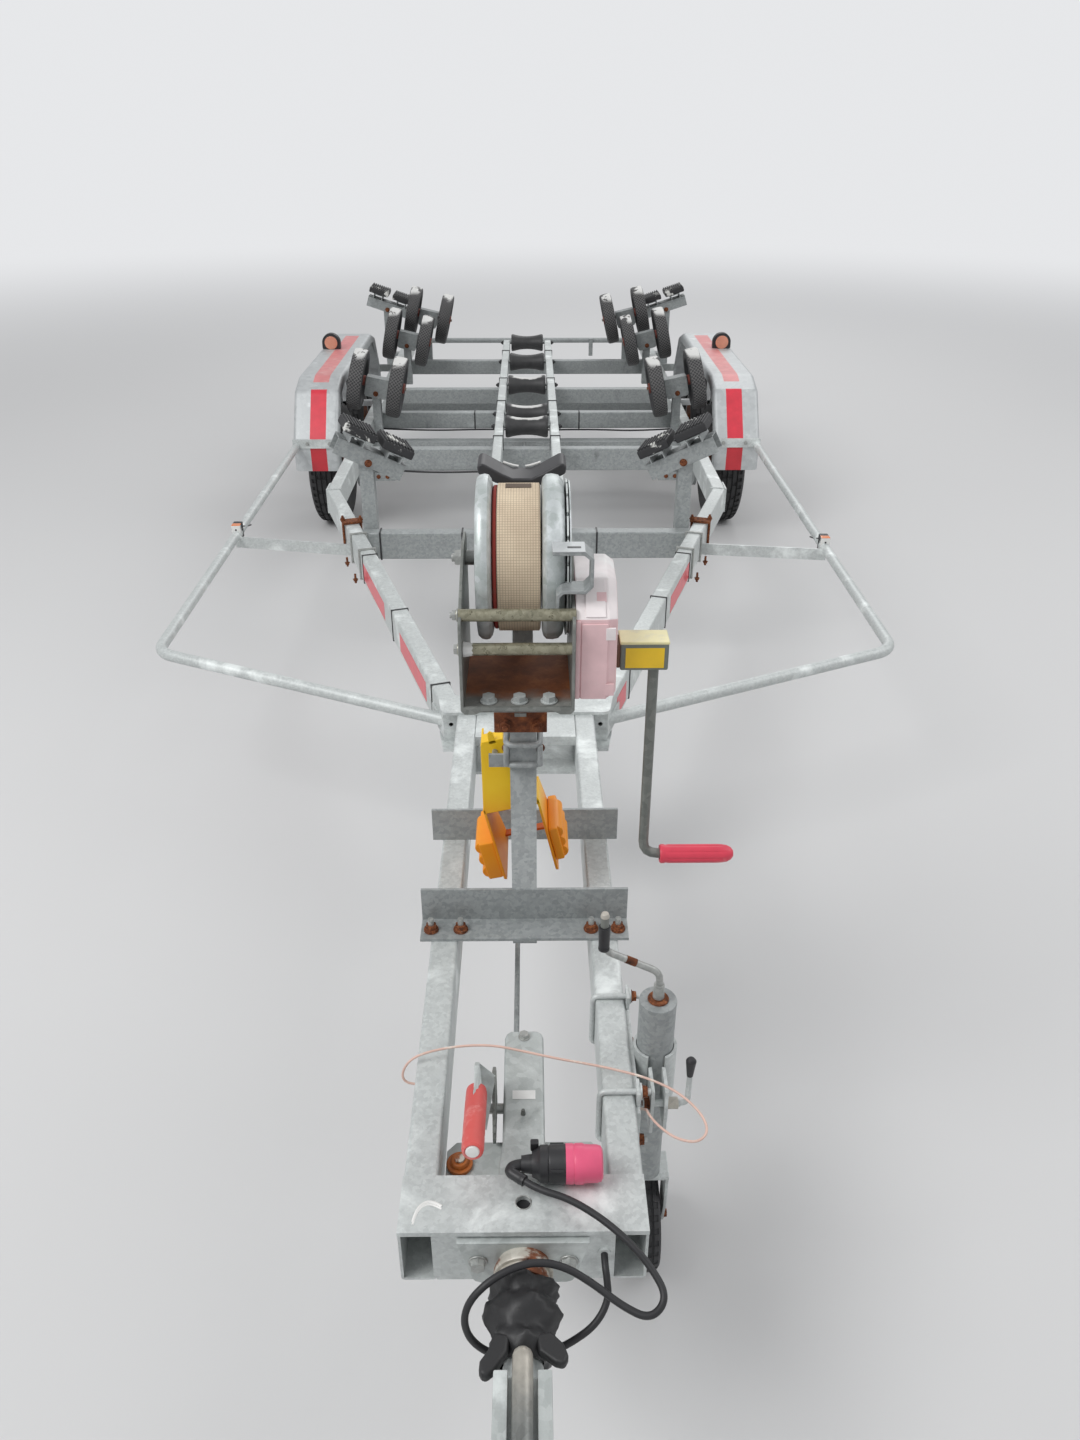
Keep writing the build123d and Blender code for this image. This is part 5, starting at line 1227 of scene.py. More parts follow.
def rustyFloor():
    material, tree, shader, place = startMaterial("rust-stained steel", 0.1)
    rusty = rusted(tree, place, 30.0)
    parts = splitPlace(tree, place)
    noise = noiseAt(tree, place, 22.0)
    reach = combine(
        tree, "ADD", parts["Y"], combine(tree, "MULTIPLY", combine(tree, "SUBTRACT", noise, 0.5), 0.06),
    )
    stained = threshold(tree, reach, -2.545, -2.5)
    spangle = spangled(tree, place, (0.17, 0.17, 0.16), (0.27, 0.27, 0.25))
    warm = mixTones(tree, combine(tree, "MULTIPLY", noise, 0.8), rusty["Color"], tone(0.34, 0.1, 0.02))
    tree.links.new(mixTones(tree, stained, spangle["Color"], warm), shader.inputs["Base Color"])
    shader.inputs["Roughness"].default_value = 0.75
    addBump(tree, shader, rusty["Height"], 0.4, 0.0008)
    return material


left, right = winch["x"] - winch["half"], winch["x"] + winch["half"]
shape = bmesh.new()
side = [
    (900, 1094), (904, 1089), (1130, 1087), (1130, 1195), (1122, 1290), (1110, 1304), (1056, 1304),
    (1040, 1298), (904, 1236), (900, 1228),
]
for start in (left, right - 5):
    addPrism(shape, side, start, start + 5, bevel=1.2)
addBox(shape, (winch["x"], 1017, 1088), (170, 224, 6), bevel=1, paint=1)
lip = [
    (left, 1097), (left, 1090), (left + 6, 1084), (left + 22, 1084), (left + 34, 1090), (right - 34, 1090),
    (right - 22, 1084), (right - 6, 1084),
]
lip += [(right, 1090), (right, 1097)]
addPrism(shape, lip, 899.5, 906, axis="y", bevel=1.5)
for x in (-52, -4, 42):
    addBolt(shape, (x, 930, 1091), (0, 0, 1), size=13, paint=6)
upperRod, lowerRod = winch["rods"]
for z in winch["rods"]:
    addRound(
        shape, (left - 3, winch["rodStation"], z), (right + 1, winch["rodStation"], z), 9.5, bevel=1.5,
        paint=3,
    )
addBolt(shape, (left, winch["rodStation"], upperRod), (-1, 0, 0), size=10, paint=2, thread=4)
addBolt(shape, (left, winch["rodStation"], lowerRod), (-1, 0, 0), size=10, paint=2)
addRound(
    shape, (left + 5, winch["rodStation"], lowerRod), (left + 22, winch["rodStation"], lowerRod), 13,
    tip=10, steps=7, bevel=2, paint=5,
)
addRound(shape, (left, *drumAxis), (right, *drumAxis), 12, steps=28, paint=2)
addBolt(shape, (left, *drumAxis), (-1, 0, 0), size=15, paint=2, thread=5)
addBox(shape, (-4, 1046, 990), (90, 5, 44), bevel=1.5, paint=4)
for x in (-30, 24):
    addBolt(shape, (x, 1043, 984), (0, -1, 0), size=11, paint=4, thread=6)
addBox(shape, (-4, 1042.5, 1004), (20, 4, 7), bevel=1)
frameOfWinch = finishPiece(
    "winchFrame", shape, "chassis",
    [winchSteel, rustyFloor(), boltZinc, rodZinc, rustySteel, whiteTape, zincPale],
)
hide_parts("winch_frame")

shape = bmesh.new()
tab = [
    (46, 1332), (92, 1332), (102, 1324), (102, 1286), (94, 1277), (60, 1277), (52, 1270), (51, 1238),
    (56, 1238), (57, 1266), (63, 1272),
]
tab += [(96, 1272), (107, 1283), (107, 1327), (95, 1337), (46, 1337)]
addPrism(shape, tab, 926, 968, axis="y", bevel=1.4)
addBox(shape, (78, 944, 1336.6), (20, 7, 1.6), bevel=0.5, paint=1)
addBox(shape, (70, 947, 1338), (48, 42, 1.6), bevel=0.5, paint=2)
addBox(shape, (78, 944, 1338.6), (20, 7, 1.2), bevel=0.3, paint=1)
finishPiece("pawlBracket", shape, "chassis", [zincDull, blackPlastic, zincSheet])


def weaveMaterial():
    material, tree, shader, place = startMaterial("webbing", 0.0)
    centre = (winch["x"] / 1000, (winch["station"] - halfLength) / 1000, winch["z"] / 1000)
    around = useGroup(tree, turnGroup, {"Place": place, "Centre": centre})
    across = combine(
        tree, "FRACT", combine(tree, "DIVIDE", combine(tree, "ADD", around["Across"], 1.0), 0.0042), 0.0,
    )
    along = combine(tree, "FRACT", combine(tree, "MULTIPLY", around["Turn"], 172.0), 0.0)
    gaps = [absolute(tree, combine(tree, "SUBTRACT", share, 0.5)) for share in (across, along)]
    grid = combine(tree, "MAXIMUM", *[threshold(tree, gap, 0.32, 0.5) for gap in gaps])
    noise = noiseAt(tree, place, 24.0, 5.0)
    cloth = mixTones(tree, noise, tone(0.5, 0.39, 0.28), tone(0.8, 0.68, 0.5))
    woven = mixTones(tree, combine(tree, "MULTIPLY", grid, 0.55), cloth, tone(0.2, 0.14, 0.1))
    tree.links.new(woven, shader.inputs["Base Color"])
    shader.inputs["Roughness"].default_value = 0.9
    addBump(tree, shader, combine(tree, "SUBTRACT", 1.0, grid), 0.6, 0.0006)
    return material


redCloth = mouldedFinish("red cloth", (0.3, 0.04, 0.03), (0.2, 0.1, 0.08), amount=0.3, rough=0.85, scale=20.0)
darkCloth = mouldedFinish(
    "dark cloth", (0.11, 0.08, 0.06), (0.2, 0.16, 0.12), amount=0.4, rough=0.9, scale=40.0,
)
shape = bmesh.new()
leftRim = [
    (-45, 45), (-45, 116), (-47, 124), (-51, 129.5), (-57, 131), (-64, 129.5), (-69, 125), (-70, 118),
    (-67, 112), (-62, 108), (-50, 104), (-49, 45),
]
rightRim = [
    (32, 45), (32, 116), (34, 125), (39, 130), (48, 131), (58, 129), (65, 122), (67, 112), (63, 105),
    (38, 102), (37, 45),
]
addSpin(shape, leftRim, (0, *drumAxis), steps=72, closed=True)
addSpin(shape, rightRim, (0, *drumAxis), steps=72, closed=True)
addRound(shape, (-70, *drumAxis), (68, *drumAxis), 44, steps=48, paint=1)
teeth = []
for index in range(winch["teeth"]):
    for share, radius in ((0, 123), (0.02, 112), (0.16, 112), (0.18, 123), (0.6, 123.5)):
        teeth.append(onCircle(drumAxis, radius, 2 * math.pi * (index + share) / winch["teeth"]))
addPrism(shape, teeth, 69, 71.5, paint=3)
addRound(shape, (73.4, *drumAxis), (75.6, *drumAxis), 121, steps=72)
drum = finishPiece("winchDrum", shape, "winch_drum", [flangeZinc, winchSteel, zincDark, zincPale])
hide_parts("winch_drum")
shape = bmesh.new()
addSpin(
    shape, [(-37.5, 60), (-37.5, 112), (-36, 116.5), (28, 116.8), (30, 112), (30, 60)], (0, *drumAxis),
    steps=72, closed=True,
)
addSpin(
    shape, [(-44.5, 60), (-44.5, 110), (-42, 113.5), (-38, 113.5), (-38, 60)], (0, *drumAxis), steps=72,
    paint=1, closed=True,
)
part = spun([(-24, 116), (-24, 117.3), (16, 117.3), (16, 116)], 8, closed=True, turn=0.2)
joinTo(shape, part, 2, Matrix.Translation((0, *drumAxis)) @ Matrix.Rotation(-0.13, 4, "X"))
strap = finishPiece("winchStrap", shape, "winch_drum", [weaveMaterial(), redCloth, darkCloth])
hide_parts("winch_strap")
print("winch drum made")

# Gear cover: faceted plastic, faded from red to pink, and white on the faces turned up
coverPink = mouldedFinish(
    "faded cover", (0.76, 0.52, 0.535), (0.84, 0.7, 0.7), amount=0.4, rough=0.45, scale=14.0,
)
coverWhite = mouldedFinish(
    "white cover plastic", (0.8, 0.74, 0.74), (0.84, 0.83, 0.82), amount=0.5, rough=0.5, scale=18.0,
)
shape = bmesh.new()
cover = [(918, 1102), (918, 1235), (972, 1280), (1058, 1286), (1148, 1222), (1165, 1132), (1132, 1102)]
part = bmesh.new()
layers = []
for x, inset in ((81, 0), (131, 0), (145, 11)):
    middle = (1041, 1195)
    ring = []
    for station, z in cover:
        away = Vector((station - middle[0], z - middle[1]))
        placed = Vector(middle) + away * (1 - inset / away.length)
        ring.append(part.verts.new((x, placed.x, placed.y)))
    layers.append(ring)
part.faces.new(layers[0][::-1])
part.faces.new(layers[-1])
for lower, upper in zip(layers, layers[1:]):
    for index in range(len(cover)):
        after = (index + 1) % len(cover)
        part.faces.new((lower[index], lower[after], upper[after], upper[index]))
bmesh.ops.recalc_face_normals(part, faces=part.faces[:])
# Faces turned up take the white
for face in part.faces:
    face.material_index = 1 if face.normal.z > 0.3 else 0
bevelAll(part, 2.5)
joinTo(shape, part)
addBox(shape, (85, 916.6, 1168), (7, 5, 130), bevel=1.2)
addBox(shape, (110, 917.2, 1165), (40, 3, 126), bevel=1.2)
addBox(shape, (134, 917.2, 1212), (15, 4, 20), bevel=1, paint=1)
addBox(shape, (134, 917.2, 1118), (15, 4, 20), bevel=1)
addPrism(shape, [(921, 1236.5), (969, 1276.5), (967, 1279.5), (918.5, 1239)], 96, 126, bevel=0.8, paint=1)
addBox(shape, (120, 946, 1259), (15, 16, 5), bevel=1, turn=Matrix.Rotation(math.radians(40), 4, "X"))
addRound(shape, (144, *crankAxis), (146, *crankAxis), 22, bevel=0.6)
gearCover = finishPiece("gearCover", shape, "chassis", [coverPink, coverWhite], angle=25)
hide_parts("gear_cover")

# Crank: boxed hub, flat rod, ribbed grip
hubYellow = mouldedFinish(
    "pale yellow top", (0.72, 0.66, 0.36), (0.6, 0.58, 0.45), amount=0.4, rough=0.45, scale=20.0,
)
hubGrey = mouldedFinish(
    "grey-green hub", (0.15, 0.17, 0.15), (0.26, 0.26, 0.2), amount=0.4, rough=0.5, scale=20.0,
)
labelYellow = mouldedFinish(
    "yellow label", (0.8, 0.52, 0.02), (0.7, 0.5, 0.12), amount=0.25, rough=0.4, scale=30.0,
)
gripRed = mouldedFinish("red grip", (0.68, 0.05, 0.09), (0.72, 0.2, 0.22), amount=0.4, rough=0.4, scale=24.0)
brownPlastic = mouldedFinish(
    "brown spacer", (0.16, 0.08, 0.05), (0.25, 0.15, 0.1), amount=0.4, rough=0.6, scale=30.0,
)
shape = bmesh.new()
addRound(shape, (114, *crankAxis), (150, *crankAxis), 9, steps=24, paint=2)
addBox(shape, (149.5, 970, 1158), (6, 40, 40), bevel=2, paint=5)
addBox(shape, (189.5, 970, 1158), (75, 46, 46), bevel=3, paint=1)
addBox(shape, (189.5, 970, 1181.5), (77, 47, 5), bevel=2)
addBox(shape, (190, 946.7, 1157), (60, 0.8, 34), paint=3)
addBent(shape, [(207, 970, 1140), (207, 970, 768), (246, 970, 767)], 8.6, 26, paint=2, ring=4)
ribs = [
    (236, 10), (236, 15), (238, 16.6), (243, 16.8), (246, 15.6), (252, 16.4), (336, 16.4), (344, 16),
    (353, 14.6), (360, 11), (364, 6), (365, 0.01),
]
part = spun(ribs, 64)
for vert in part.verts:
    turned = math.atan2(vert.co.z, vert.co.y)
    flute = 1 - 0.07 * max(0, math.cos(8 * turned)) ** 4 * (248 < vert.co.x < 350)
    vert.co.y *= flute
    vert.co.z *= flute
joinTo(shape, part, 4, Matrix.Translation((0, 970, 766)))
crank = finishPiece(
    "winchCrank", shape, "winch_crank", [hubYellow, hubGrey, zincDark, labelYellow, gripRed, brownPlastic],
)
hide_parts("winch_crank")

# Bow stop: a black V on a leaning arm
stopRubber = mouldedFinish(
    "bow stop rubber", (0.03, 0.03, 0.033), (0.2, 0.2, 0.2), amount=0.35, rough=0.5, scale=20.0,
)
shape = bmesh.new()
stop = [(24, 1330), (46, 1336), (75, 1352), (76, 1363), (73, 1369), (66, 1370), (34, 1352), (16, 1344)]
addPrism(shape, mirrored(stop), 1260, 1330, axis="y", bevel=4, segments=3)
arm = [(1095, 960), (1095, 1015), (1275, 1330), (1315, 1330), (1135, 1000)]
addPrism(shape, arm, -18, 18, bevel=3, paint=1)
for z in (1300, 1318):
    addRound(shape, (-22, 1290, z), (22, 1290, z), 6, steps=16, bevel=1, paint=1)
for side in (-1, 1):
    addRod(
        shape, [(side * 6, 1329, 1345.5), (side * 17, 1329.5, 1346.5), (side * 33, 1329, 1353)], 2.2,
        paint=2, ring=2,
    )
bowStop = finishPiece("bowStop", shape, "chassis", [stopRubber, zincDull, whiteTape])
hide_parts("bow_stop")


# Chock: yellow plastic with scalloped feet; the orange below the top and the darker webs are painted shade
def chockMaterial():
    material, tree, shader, place = startMaterial("chock plastic", 0.0)
    parts = splitPlace(tree, place)
    noise = noiseAt(tree, place, 18.0)
    height = combine(tree, "ADD", parts["Z"], combine(tree, "MULTIPLY", noise, 0.05))
    # Painted shade: below the top the yellow turns orange, standing in for the shade on the chock's lower parts
    low = threshold(tree, height, 0.72, 0.84)
    varied = mixTones(tree, noise, tone(0.78, 0.24, 0.0), tone(0.86, 0.33, 0.01))
    top = mixTones(tree, noise, tone(0.84, 0.5, 0.0), tone(0.9, 0.6, 0.02))
    colour = mixTones(tree, low, varied, top)
    grime = patched(tree, place, colour, tone(0.3, 0.12, 0.03), 16.0, 0.18, 0.2)
    tree.links.new(grime["Color"], shader.inputs["Base Color"])
    shader.inputs["Roughness"].default_value = 0.42
    addBump(tree, shader, noise, 0.2, 0.0005)
    return material


chockPlace = Matrix.Translation((-52, 1128, 880)) @ Matrix.Rotation(-math.radians(13), 4, "Y")
# Painted shade: a darker orange-red finish for the webs inside the chock, standing in for the shade under it
chockWebPaintedShade = mouldedFinish(
    "orange web with painted shade", (0.5, 0.09, 0.0), (0.36, 0.08, 0.02), amount=0.4, rough=0.5, scale=18.0,
)
chockPlastic = chockMaterial()
shape = bmesh.new()
addPrism(shape, mirrored([(22, 20), (54, -125), (54, -130)]), 0, 5, axis="y", bevel=1.5)
for side in (-1, 1):
    flank = [(0, -120), (81, -120), (158, -294), (8, -294), (0, -286)]
    addPrism(shape, flank, side * 49, side * 54, bevel=1.2)
    upper = [(side * 18, 19), (side * 22, 19), (side * 54, -125), (side * 49, -125)]
    addPrism(shape, upper, 2, 60, axis="y", bevel=0.8)
addPrism(shape, [(0, 18), (30, 18), (34, 20), (30, 23), (0, 23)], -20, 20, bevel=1)
# The two webs take the painted-shade finish
addPrism(shape, [(4, -127), (78, -152), (78, -158), (4, -133)], -49, 49, bevel=0.8, paint=1)
addBox(shape, (0, 132, -272), (98, 30, 5), bevel=1, paint=1, turn=Matrix.Rotation(math.radians(-15), 4, "X"))
addPrism(shape, [(-7, 16), (7, 16), (5, 38), (0, 42), (-5, 38)], 0, 4, axis="y", bevel=0.8)
for side, out, low, high in ((-1, 84, -286, -200), (1, 72, -270, -196)):
    middle = (low + high) / 2
    addBox(shape, (side * (out + 54) / 2, 64, middle), (out - 54, 118, high - low), bevel=4)
    for index in range(3):
        z = low + 14 + index * (high - low - 28) / 2
        addRound(shape, (side * (out - 4), 12, z), (side * (out - 4), 108, z), 13.5, steps=28, bevel=3)
wheelChock = finishPiece("wheelChock", shape, "chassis", [chockPlastic, chockWebPaintedShade], local=chockPlace)
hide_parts("chock")
print("winch and chock made")

# Overrun housing with its flange, foot, cap, pin and toothed sector
housingZinc = zincFinish(
    "housing zinc", (0.38, 0.41, 0.4), (0.54, 0.57, 0.56), pale=0.5, grime=0.3, rust=0.06,
)
neckZinc = zincFinish(
    "rust-stained neck", (0.45, 0.42, 0.36), (0.62, 0.6, 0.54), pale=0.4, grime=0.2, rust=0.55,
)
capOrange = mouldedFinish(
    "orange cap", (0.42, 0.12, 0.02), (0.2, 0.06, 0.02), amount=0.45, rough=0.45, scale=40.0,
)
shape = bmesh.new()
plan = [(32, 398), (32, 752), (29, 761), (22, 767)]
addPrism(shape, mirrored(plan), 457, 553, axis="z", bevel=5, segments=3)
addPrism(shape, mirrored([(36, 398), (36, 505), (32, 540)]), 456, 554, axis="z", bevel=5, segments=3)
addRound(shape, (0, 345, 505), (0, 400, 505), 36, steps=48, bevel=2, paint=1)
addRound(shape, (0, 360, 505), (0, 372, 505), 41, steps=48, bevel=3, paint=1)
flange = [(92, 549), (73, 474), (69, 465), (60, 461)]
addPrism(shape, mirrored(flange), 380, 390, axis="y", bevel=1.8)
for x in (-63, 63):
    addBolt(shape, (x, 380, 510), (0, -1, 0), size=13, paint=2)
addPrism(shape, mirrored([(112, 471), (118, 478), (118, 566), (104, 582)]), 497, 505, axis="z", bevel=1.5)
addRound(shape, (-97, 540, 505), (-97, 540, 512), 20, steps=40, bevel=2, paint=3)
addRound(shape, (-97, 540, 512), (-97, 540, 519), 15, tip=12, steps=40, bevel=2, paint=3)
addRound(shape, (-97, 540, 519), (-97, 540, 523), 8, steps=24, bevel=1, paint=1)
addRound(shape, (-30, 620, 535), (-80, 620, 535), 8, steps=24, bevel=1, paint=2)
addRound(shape, (-74.5, 620, 535), (-82, 620, 535), 13, steps=6, paint=2)
sector = [(650, 513), (646, 590), (634, 612), (612, 628), (600, 628)]
for index in range(7):
    height = 622 - 13 * index
    sector += [(590 - 4 * index, height), (595 - 4 * index, height - 6)]
sector += [(566, 530), (572, 513)]
addPrism(shape, sector, -47.5, -42.5, bevel=0.6, paint=4)
addBolt(shape, (0, 752, 553), (0, 0, 1), size=9.5, paint=2)
addBox(shape, (0, 631, 553.3), (36, 17, 0.8), paint=5)
addRound(shape, (-1, 594, 553), (-1, 594, 563), 4, tip=2.6, steps=16, bevel=0.6, paint=4)
addBox(shape, (-15, 753, 442), (16, 30, 30), bevel=2)
housing = finishPiece(
    "overrunHousing", shape, "chassis", [housingZinc, neckZinc, boltZinc, capOrange, zincDark, whiteTape],
)
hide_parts("overrun_housing")

# Coupling: rounded head with a cup for the ball, side walls and the draw tube
shape = bmesh.new()
nose = [(-36, 205), (-36, 62), (-33, 38), (-26, 20), (-14, 6), (0, 0.5)]
addPrism(shape, mirrored(nose), 484, 544, axis="z", bevel=3)
for side in (-1, 1):
    wall = [
        (side * 18, 205), (side * 18, 30), (side * 26, 20), (side * 33, 38), (side * 36, 62),
        (side * 36, 205),
    ]
    addPrism(shape, wall, 542, 560, axis="z", bevel=2)
    addPrism(
        shape, [(side * 30, 205), (side * 30, 30), (side * 33, 38), (side * 36, 62), (side * 36, 205)], 461,
        486, axis="z", bevel=1.5,
    )
    addRound(shape, (side * 17, 60, 562), (side * 26, 60, 562), 12, steps=28, bevel=1, paint=1)
    addRound(shape, (side * 35, 120, 530), (side * 41, 120, 530), 9, steps=6, paint=1)
cup = [(0, 31), (8, 31), (20, 26), (28, 14), (31, 0.01)]
inner = [(28, 0.01), (24, 13), (17, 21), (8, 25.4), (0, 25.4)]
part = spun(cup + inner, 40, closed=True)
joinTo(shape, part, 0, Matrix.Translation((0, 60, 460)) @ Matrix.Rotation(-math.pi / 2, 4, "Y"))
addRound(shape, (0, 190, 505), (0, 600, 505), 25, steps=40, bevel=1.5)
addRound(shape, (0, 196, 505), (0, 238, 505), 30, tip=26, steps=40, bevel=2)
head = finishPiece("couplingHead", shape, "chassis", [housingZinc, boltZinc])
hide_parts("coupling_body")
handlePale = zincFinish(
    "worn handle end", (0.36, 0.34, 0.3), (0.55, 0.52, 0.46), metal=0.4, rough=0.45, pale=0.5, grime=0.3,
    rust=0.12,
)


def handleFinish():
    material, tree, shader, place = startMaterial("worn handle", 0.45)
    noise = noiseAt(tree, place, 60.0)
    along = splitPlace(tree, place)["Y"]
    worn = threshold(tree, combine(tree, "ADD", along, combine(tree, "MULTIPLY", noise, 0.04)), -3.33, -3.235)
    spangle = spangled(tree, place, (0.13, 0.135, 0.13), (0.24, 0.25, 0.24))
    pale = mixTones(tree, noise, tone(0.3, 0.28, 0.24), tone(0.56, 0.53, 0.47))
    tree.links.new(mixTones(tree, worn, spangle["Color"], pale), shader.inputs["Base Color"])
    shader.inputs["Roughness"].default_value = 0.38
    addBump(tree, shader, noise, 0.2, 0.0004)
    return material


shape = bmesh.new()
addRound(shape, (0, 60, 562), (0, 214, 562), 13, steps=40)
dome = [(0, 13), (6, 12.8), (11, 11), (14.5, 7), (16, 0.01)]
joinTo(shape, spun(dome, 40), 0, Matrix.Translation((0, 214, 562)) @ Matrix.Rotation(math.pi / 2, 4, "Z"))
addRound(shape, (-13, 60, 562), (13, 60, 562), 12, bevel=1)
handle = finishPiece("couplingHandle", shape, "coupling_handle", [handleFinish()])
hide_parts("coupling_handle")

# Bellows: torn and lumpy, with flaps beside the handle
bellowsRubber = mouldedFinish(
    "bellows rubber", (0.02, 0.02, 0.021), (0.07, 0.068, 0.065), amount=0.3, rough=0.5, scale=26.0,
    grain=180.0, depth=0.0008,
)
folds = [
    (238, 30), (241, 36), (246, 40), (253, 46), (259, 48), (266, 45), (272, 41), (279, 43), (288, 50),
    (297, 54), (306, 53), (314, 47), (321, 42),
]
folds += [(328, 45), (335, 50), (341, 49), (345, 44), (346, 37)]
part = spun([(station - 290, radius) for station, radius in folds], 64)
for vert in part.verts:
    angle = math.atan2(vert.co.z, vert.co.y)
    lump = 0.045 * math.sin(3 * angle + 0.09 * vert.co.x) + 0.045 * math.sin(5 * angle - 0.13 * vert.co.x + 1)
    lump += 0.035 * math.sin(9 * angle + 0.22 * vert.co.x) + 0.02 * math.sin(14 * angle - 0.3 * vert.co.x)
    vert.co.y *= 0.94 + lump
    vert.co.z *= 0.94 + lump
    vert.co.x += 2.5 * math.sin(2 * angle + 0.7)
shape = bmesh.new()
joinTo(shape, part, 0, Matrix.Translation((0, 290, 505)) @ Matrix.Rotation(math.pi / 2, 4, "Z"))
addPrism(
    shape, [(-38, 262), (-16, 258), (-19, 236), (-34, 214), (-46, 204), (-55, 210), (-54, 226), (-44, 240)],
    527, 545, axis="z", bevel=6, segments=3,
)
addPrism(
    shape, [(16, 258), (36, 262), (52, 246), (58, 230), (52, 219), (40, 222), (20, 236)], 529, 545,
    axis="z", bevel=5, segments=3,
)
bellows = finishPiece("bellowsRubber", shape, "chassis", [bellowsRubber], angle=60)
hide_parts("bellows")

# Handbrake lever: pointed blade and a faded red grip with a white end
gripFaded = mouldedFinish(
    "faded red grip", (0.6, 0.09, 0.08), (0.68, 0.3, 0.28), amount=0.45, rough=0.45, scale=30.0,
)
shape = bmesh.new()
blade = [
    (604, 530), (612, 520), (628, 520), (638, 532), (640, 562), (618, 640), (606, 646), (566, 634),
    (562, 612), (590, 590),
]
addPrism(shape, blade, -73.5, -66.5, bevel=1)
blade = bmesh.new()
corners = [(-42, 602, 628), (-54, 530, 594), (-66, 528, 612), (-74, 560, 640), (-66, 610, 646)]
blade.faces.new([blade.verts.new(corner) for corner in corners])
bmesh.ops.solidify(blade, geom=blade.faces[:], thickness=2)
joinTo(shape, blade, 0)
along = Vector((0, -130, 23)).normalized()
grip = [
    (0, 0.01), (0, 13.5), (3, 15.5), (20, 16), (24, 15), (28, 16), (96, 16), (100, 14.8), (104, 16),
    (124, 16), (129, 15), (131.5, 12), (130, 10),
]
whiteEnd = [(126, 10.4), (130.5, 10), (132, 8.5), (132.5, 0.01)]
place = Matrix.Translation((-70, 585, 617)) @ along.to_track_quat("X", "Z").to_matrix().to_4x4()
joinTo(shape, spun(grip, 36), 1, place)
joinTo(shape, spun(whiteEnd, 36), 2, place)
lever = finishPiece("brakeLever", shape, "brake_lever", [housingZinc, gripFaded, whiteTape])
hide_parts("brake_lever")
print("coupling and brake made")

# Jack: tube and cap, clamp with its screw and knob, crank, fork and a treaded wheel
jackAxis = (215, 730)
jockeyCentre = (215, 750, 100)
shape = bmesh.new()
wall = [(-1, 24.5), (0, 30), (270, 30), (270, 24.5)]
upright = Matrix.Rotation(-math.pi / 2, 4, "Y")
joinTo(shape, spun(wall, 48, closed=True), 0, Matrix.Translation((*jackAxis, 380)) @ upright)
addRound(shape, (*jackAxis, 648), (*jackAxis, 657), 30.4, steps=48, bevel=2)
addRound(shape, (*jackAxis, 657), (*jackAxis, 660), 17, bevel=0.8, paint=2)
ringOut, ringIn = [], []
for step in range(31):
    angle = math.radians(-90 + 24 + (360 - 48) * step / 30)
    ringOut.append(onCircle(jackAxis, 36, angle))
    ringIn.append(onCircle(jackAxis, 31, angle))
ears = ([(207, 694), (207, 640), (201, 640), (201, 692)], [(229, 692), (229, 640), (223, 640), (223, 694)])
addPrism(shape, ringOut + ringIn[::-1], 450, 560, axis="z", bevel=0.8, paint=1)
for ear in ears:
    addPrism(shape, ear, 452, 545, axis="z", bevel=1, paint=1)
addBox(shape, (177, 730, 505), (8, 258, 80), bevel=2, paint=1)
addRound(shape, (190, 655, 505), (250, 655, 505), 6, steps=20, paint=1)
addBolt(shape, (201, 655, 505), (-1, 0, 0), size=10, paint=2, thread=4)
addRound(shape, (229, 655, 505), (247, 655, 505), 9.5, steps=28, bevel=1, paint=4)
addBent(shape, [(240, 655, 505), (262, 655, 505), (262, 655, 575)], 4.6, 12, paint=1)
addRound(shape, (262, 655, 566), (262, 655, 600), 5, tip=8.5, steps=28, bevel=1.5, paint=3)
addRound(shape, (262, 655, 599), (262, 655, 604), 8.5, tip=5, steps=28, bevel=1, paint=3)
jackTube = finishPiece(
    "jackTube", shape, "chassis", [zincDull, zincPale, rustyBolts, blackPlastic, handlePale],
)
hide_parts("jack_tube")
shape = bmesh.new()
addBent(shape, [(*jackAxis, 562), (*jackAxis, 714), (125, 730, 760), (125, 730, 832)], 5.8, 16, ring=4)
addRound(shape, (*jackAxis, 662), (*jackAxis, 690), 9.5, tip=8.5, steps=28, bevel=1.5)
addRound(shape, (176, 730, 734), (160, 730, 742), 6.4, steps=24, paint=1)
addRound(shape, (125, 730, 762), (125, 730, 768), 9, steps=28, bevel=1.5, paint=2)
addRound(shape, (125, 730, 768), (125, 730, 808), 8.6, tip=9.6, steps=28, bevel=1.5, paint=2)
addRound(shape, (125, 730, 808), (125, 730, 828), 6.6, steps=24, bevel=1, paint=4)
addRound(shape, (125, 730, 826), (125, 730, 834), 7.4, tip=5.5, steps=24, bevel=1.5, paint=3)
jackCrank = finishPiece(
    "jackCrank", shape, "jack_crank", [boltZinc, rustySteel, blackPlastic, handlePale, zincDark],
)
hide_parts("jack_crank")
shape = bmesh.new()
addBox(shape, (215, 740, 245), (80, 58, 9), bevel=2.5)
cheek = [(715, 249), (765, 249), (765, 150), (760, 100), (752, 87), (744, 87), (736, 100), (718, 160)]
for side in (-1, 1):
    addPrism(shape, cheek, jackAxis[0] + side * 34, jackAxis[0] + side * 40, bevel=1.2)
    addBolt(shape, (jackAxis[0] + side * 40, *jockeyCentre[1:]), (side, 0, 0), size=9, paint=1)
addRound(shape, (175, 750, 100), (255, 750, 100), 7.8, steps=20, paint=1)
fork = finishPiece("jackFork", shape, "jack_fork", [zincPale, rustyBolts])
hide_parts("jack_fork")
shape = bmesh.new()
solid = [
    (-26, 18), (-27, 30), (-16, 36), (-16, 58), (-24, 64), (-28, 78), (-27, 90), (-22, 96), (-14, 98.5),
    (-13, 96), (-10, 96), (-9, 99.4), (0, 100),
]
part = spun(mirrored(solid), 56)
blocks = []
for face in part.faces:
    middle, away, step = ringStep(face, 56)
    if away > 97 and (step + (middle.x > 0)) % 2:
        blocks.append(face)
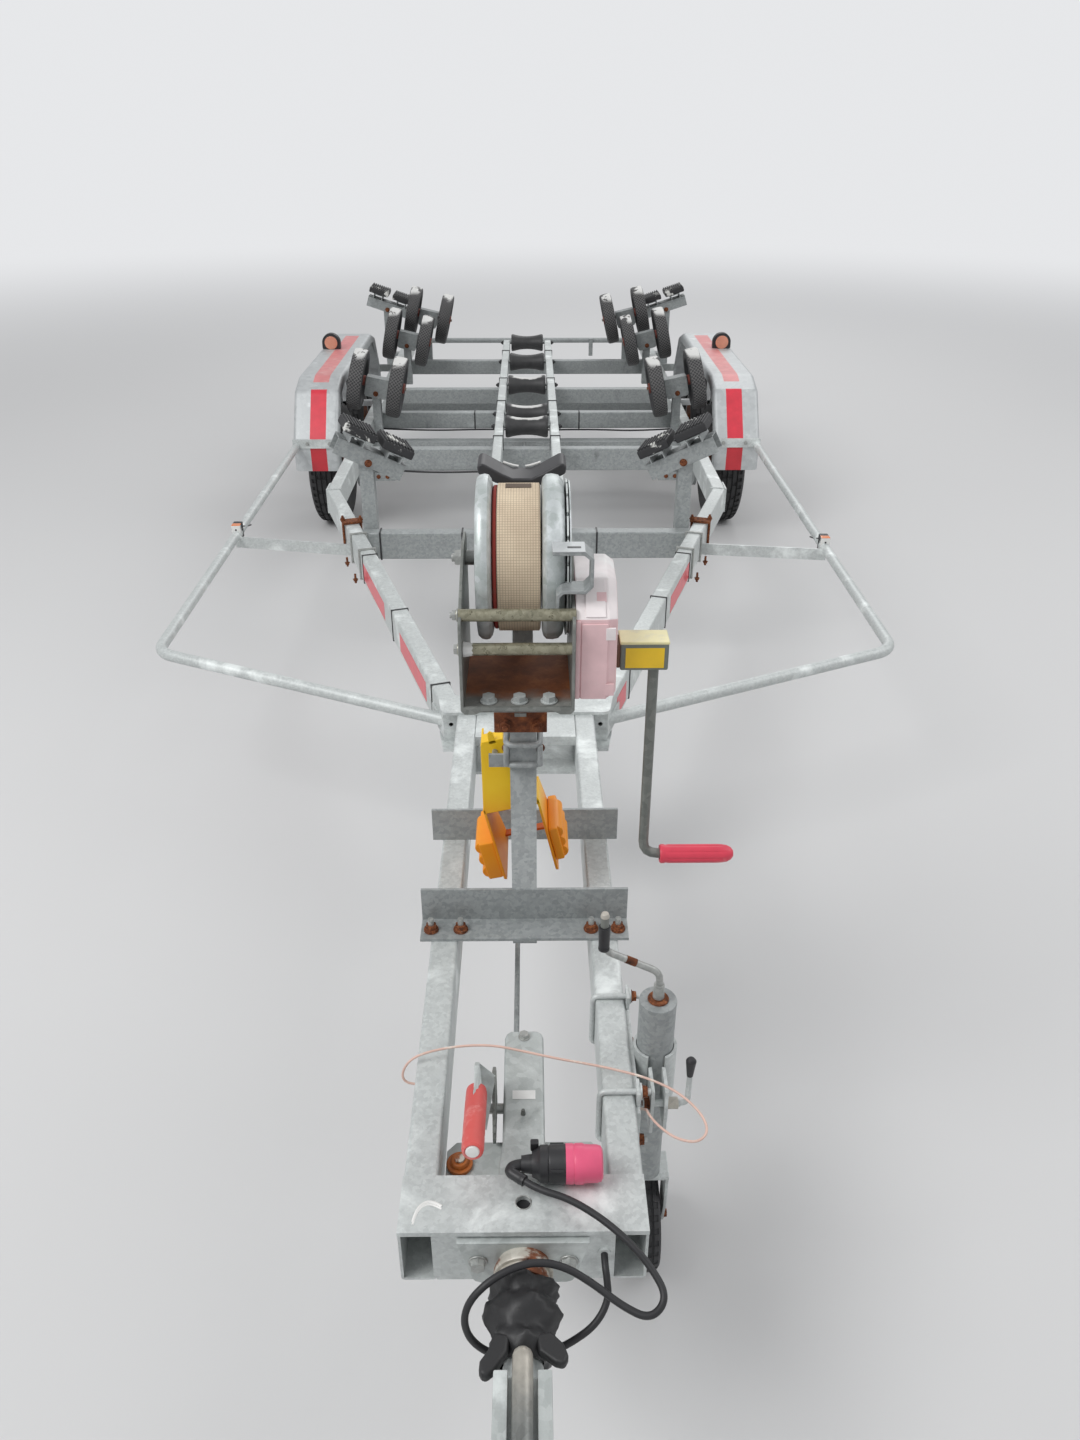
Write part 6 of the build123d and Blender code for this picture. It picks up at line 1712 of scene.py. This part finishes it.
bmesh.ops.inset_individual(part, faces=blocks, thickness=1.0, depth=-1.6)
joinTo(shape, part, 0, Matrix.Translation(jockeyCentre))
for side in (-1, 1):
    addRound(
        shape, (jackAxis[0] + side * 29, *jockeyCentre[1:]), (jackAxis[0] + side * 5, *jockeyCentre[1:]),
        19, bevel=1.5, paint=1,
    )
jockey = finishPiece("jockeyWheel", shape, "jockey_wheel", [blackRubber, zincDull])
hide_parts("jockey_wheel")

# Plug: stepped black body, ringed cap of faded red, and the gland that the cable leaves
plugRed = mouldedFinish("plug cap", (0.72, 0.1, 0.2), (0.78, 0.3, 0.36), amount=0.35, rough=0.4, scale=22.0)
shape = bmesh.new()
plugAxis = (474, 591.3)
body = [
    (-3, 8), (-3, 11.5), (8, 13), (12, 13.5), (12, 17), (20, 21), (24, 25.5), (34, 26), (36, 24.5),
    (38, 26), (56, 26.5), (60, 27),
]
cap = [
    (60, 20), (60, 27.3), (70, 27.6), (72, 26.4), (74, 27.6), (84, 27.8), (87, 26), (104, 25.5), (110, 24),
    (112.6, 20), (113, 0.01),
]
joinTo(shape, spun(body, 44), 0, Matrix.Translation((0, *plugAxis)))
joinTo(shape, spun(cap, 44), 1, Matrix.Translation((0, *plugAxis)))
for angle in (0.5, 2.6, 4.7):
    place = (48, *onCircle(plugAxis, 26, angle))
    addBox(shape, place, (20, 5, 5), bevel=1.2, turn=Matrix.Rotation(angle, 4, "X"))
addRod(shape, [(6, 474, 591.3), (-14, 472, 591.3), (-20, 462, 591.3), (-12, 456, 591.3), (2, 446, 591.3)], 8)
addRound(shape, (-4, 450.4, 591.3), (2, 446, 591.3), 8.6, tip=7, steps=24, bevel=0.8)
addBox(shape, (16, 496, 604), (12, 10, 16), bevel=2)
plugBlack = mouldedFinish(
    "plug body", (0.022, 0.022, 0.024), (0.16, 0.07, 0.03), amount=0.3, rough=0.45, scale=34.0,
)
plugPiece = finishPiece("plugBody", shape, "chassis", [plugBlack, plugRed])
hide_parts("plug")
print("jack and plug made")

low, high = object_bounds()
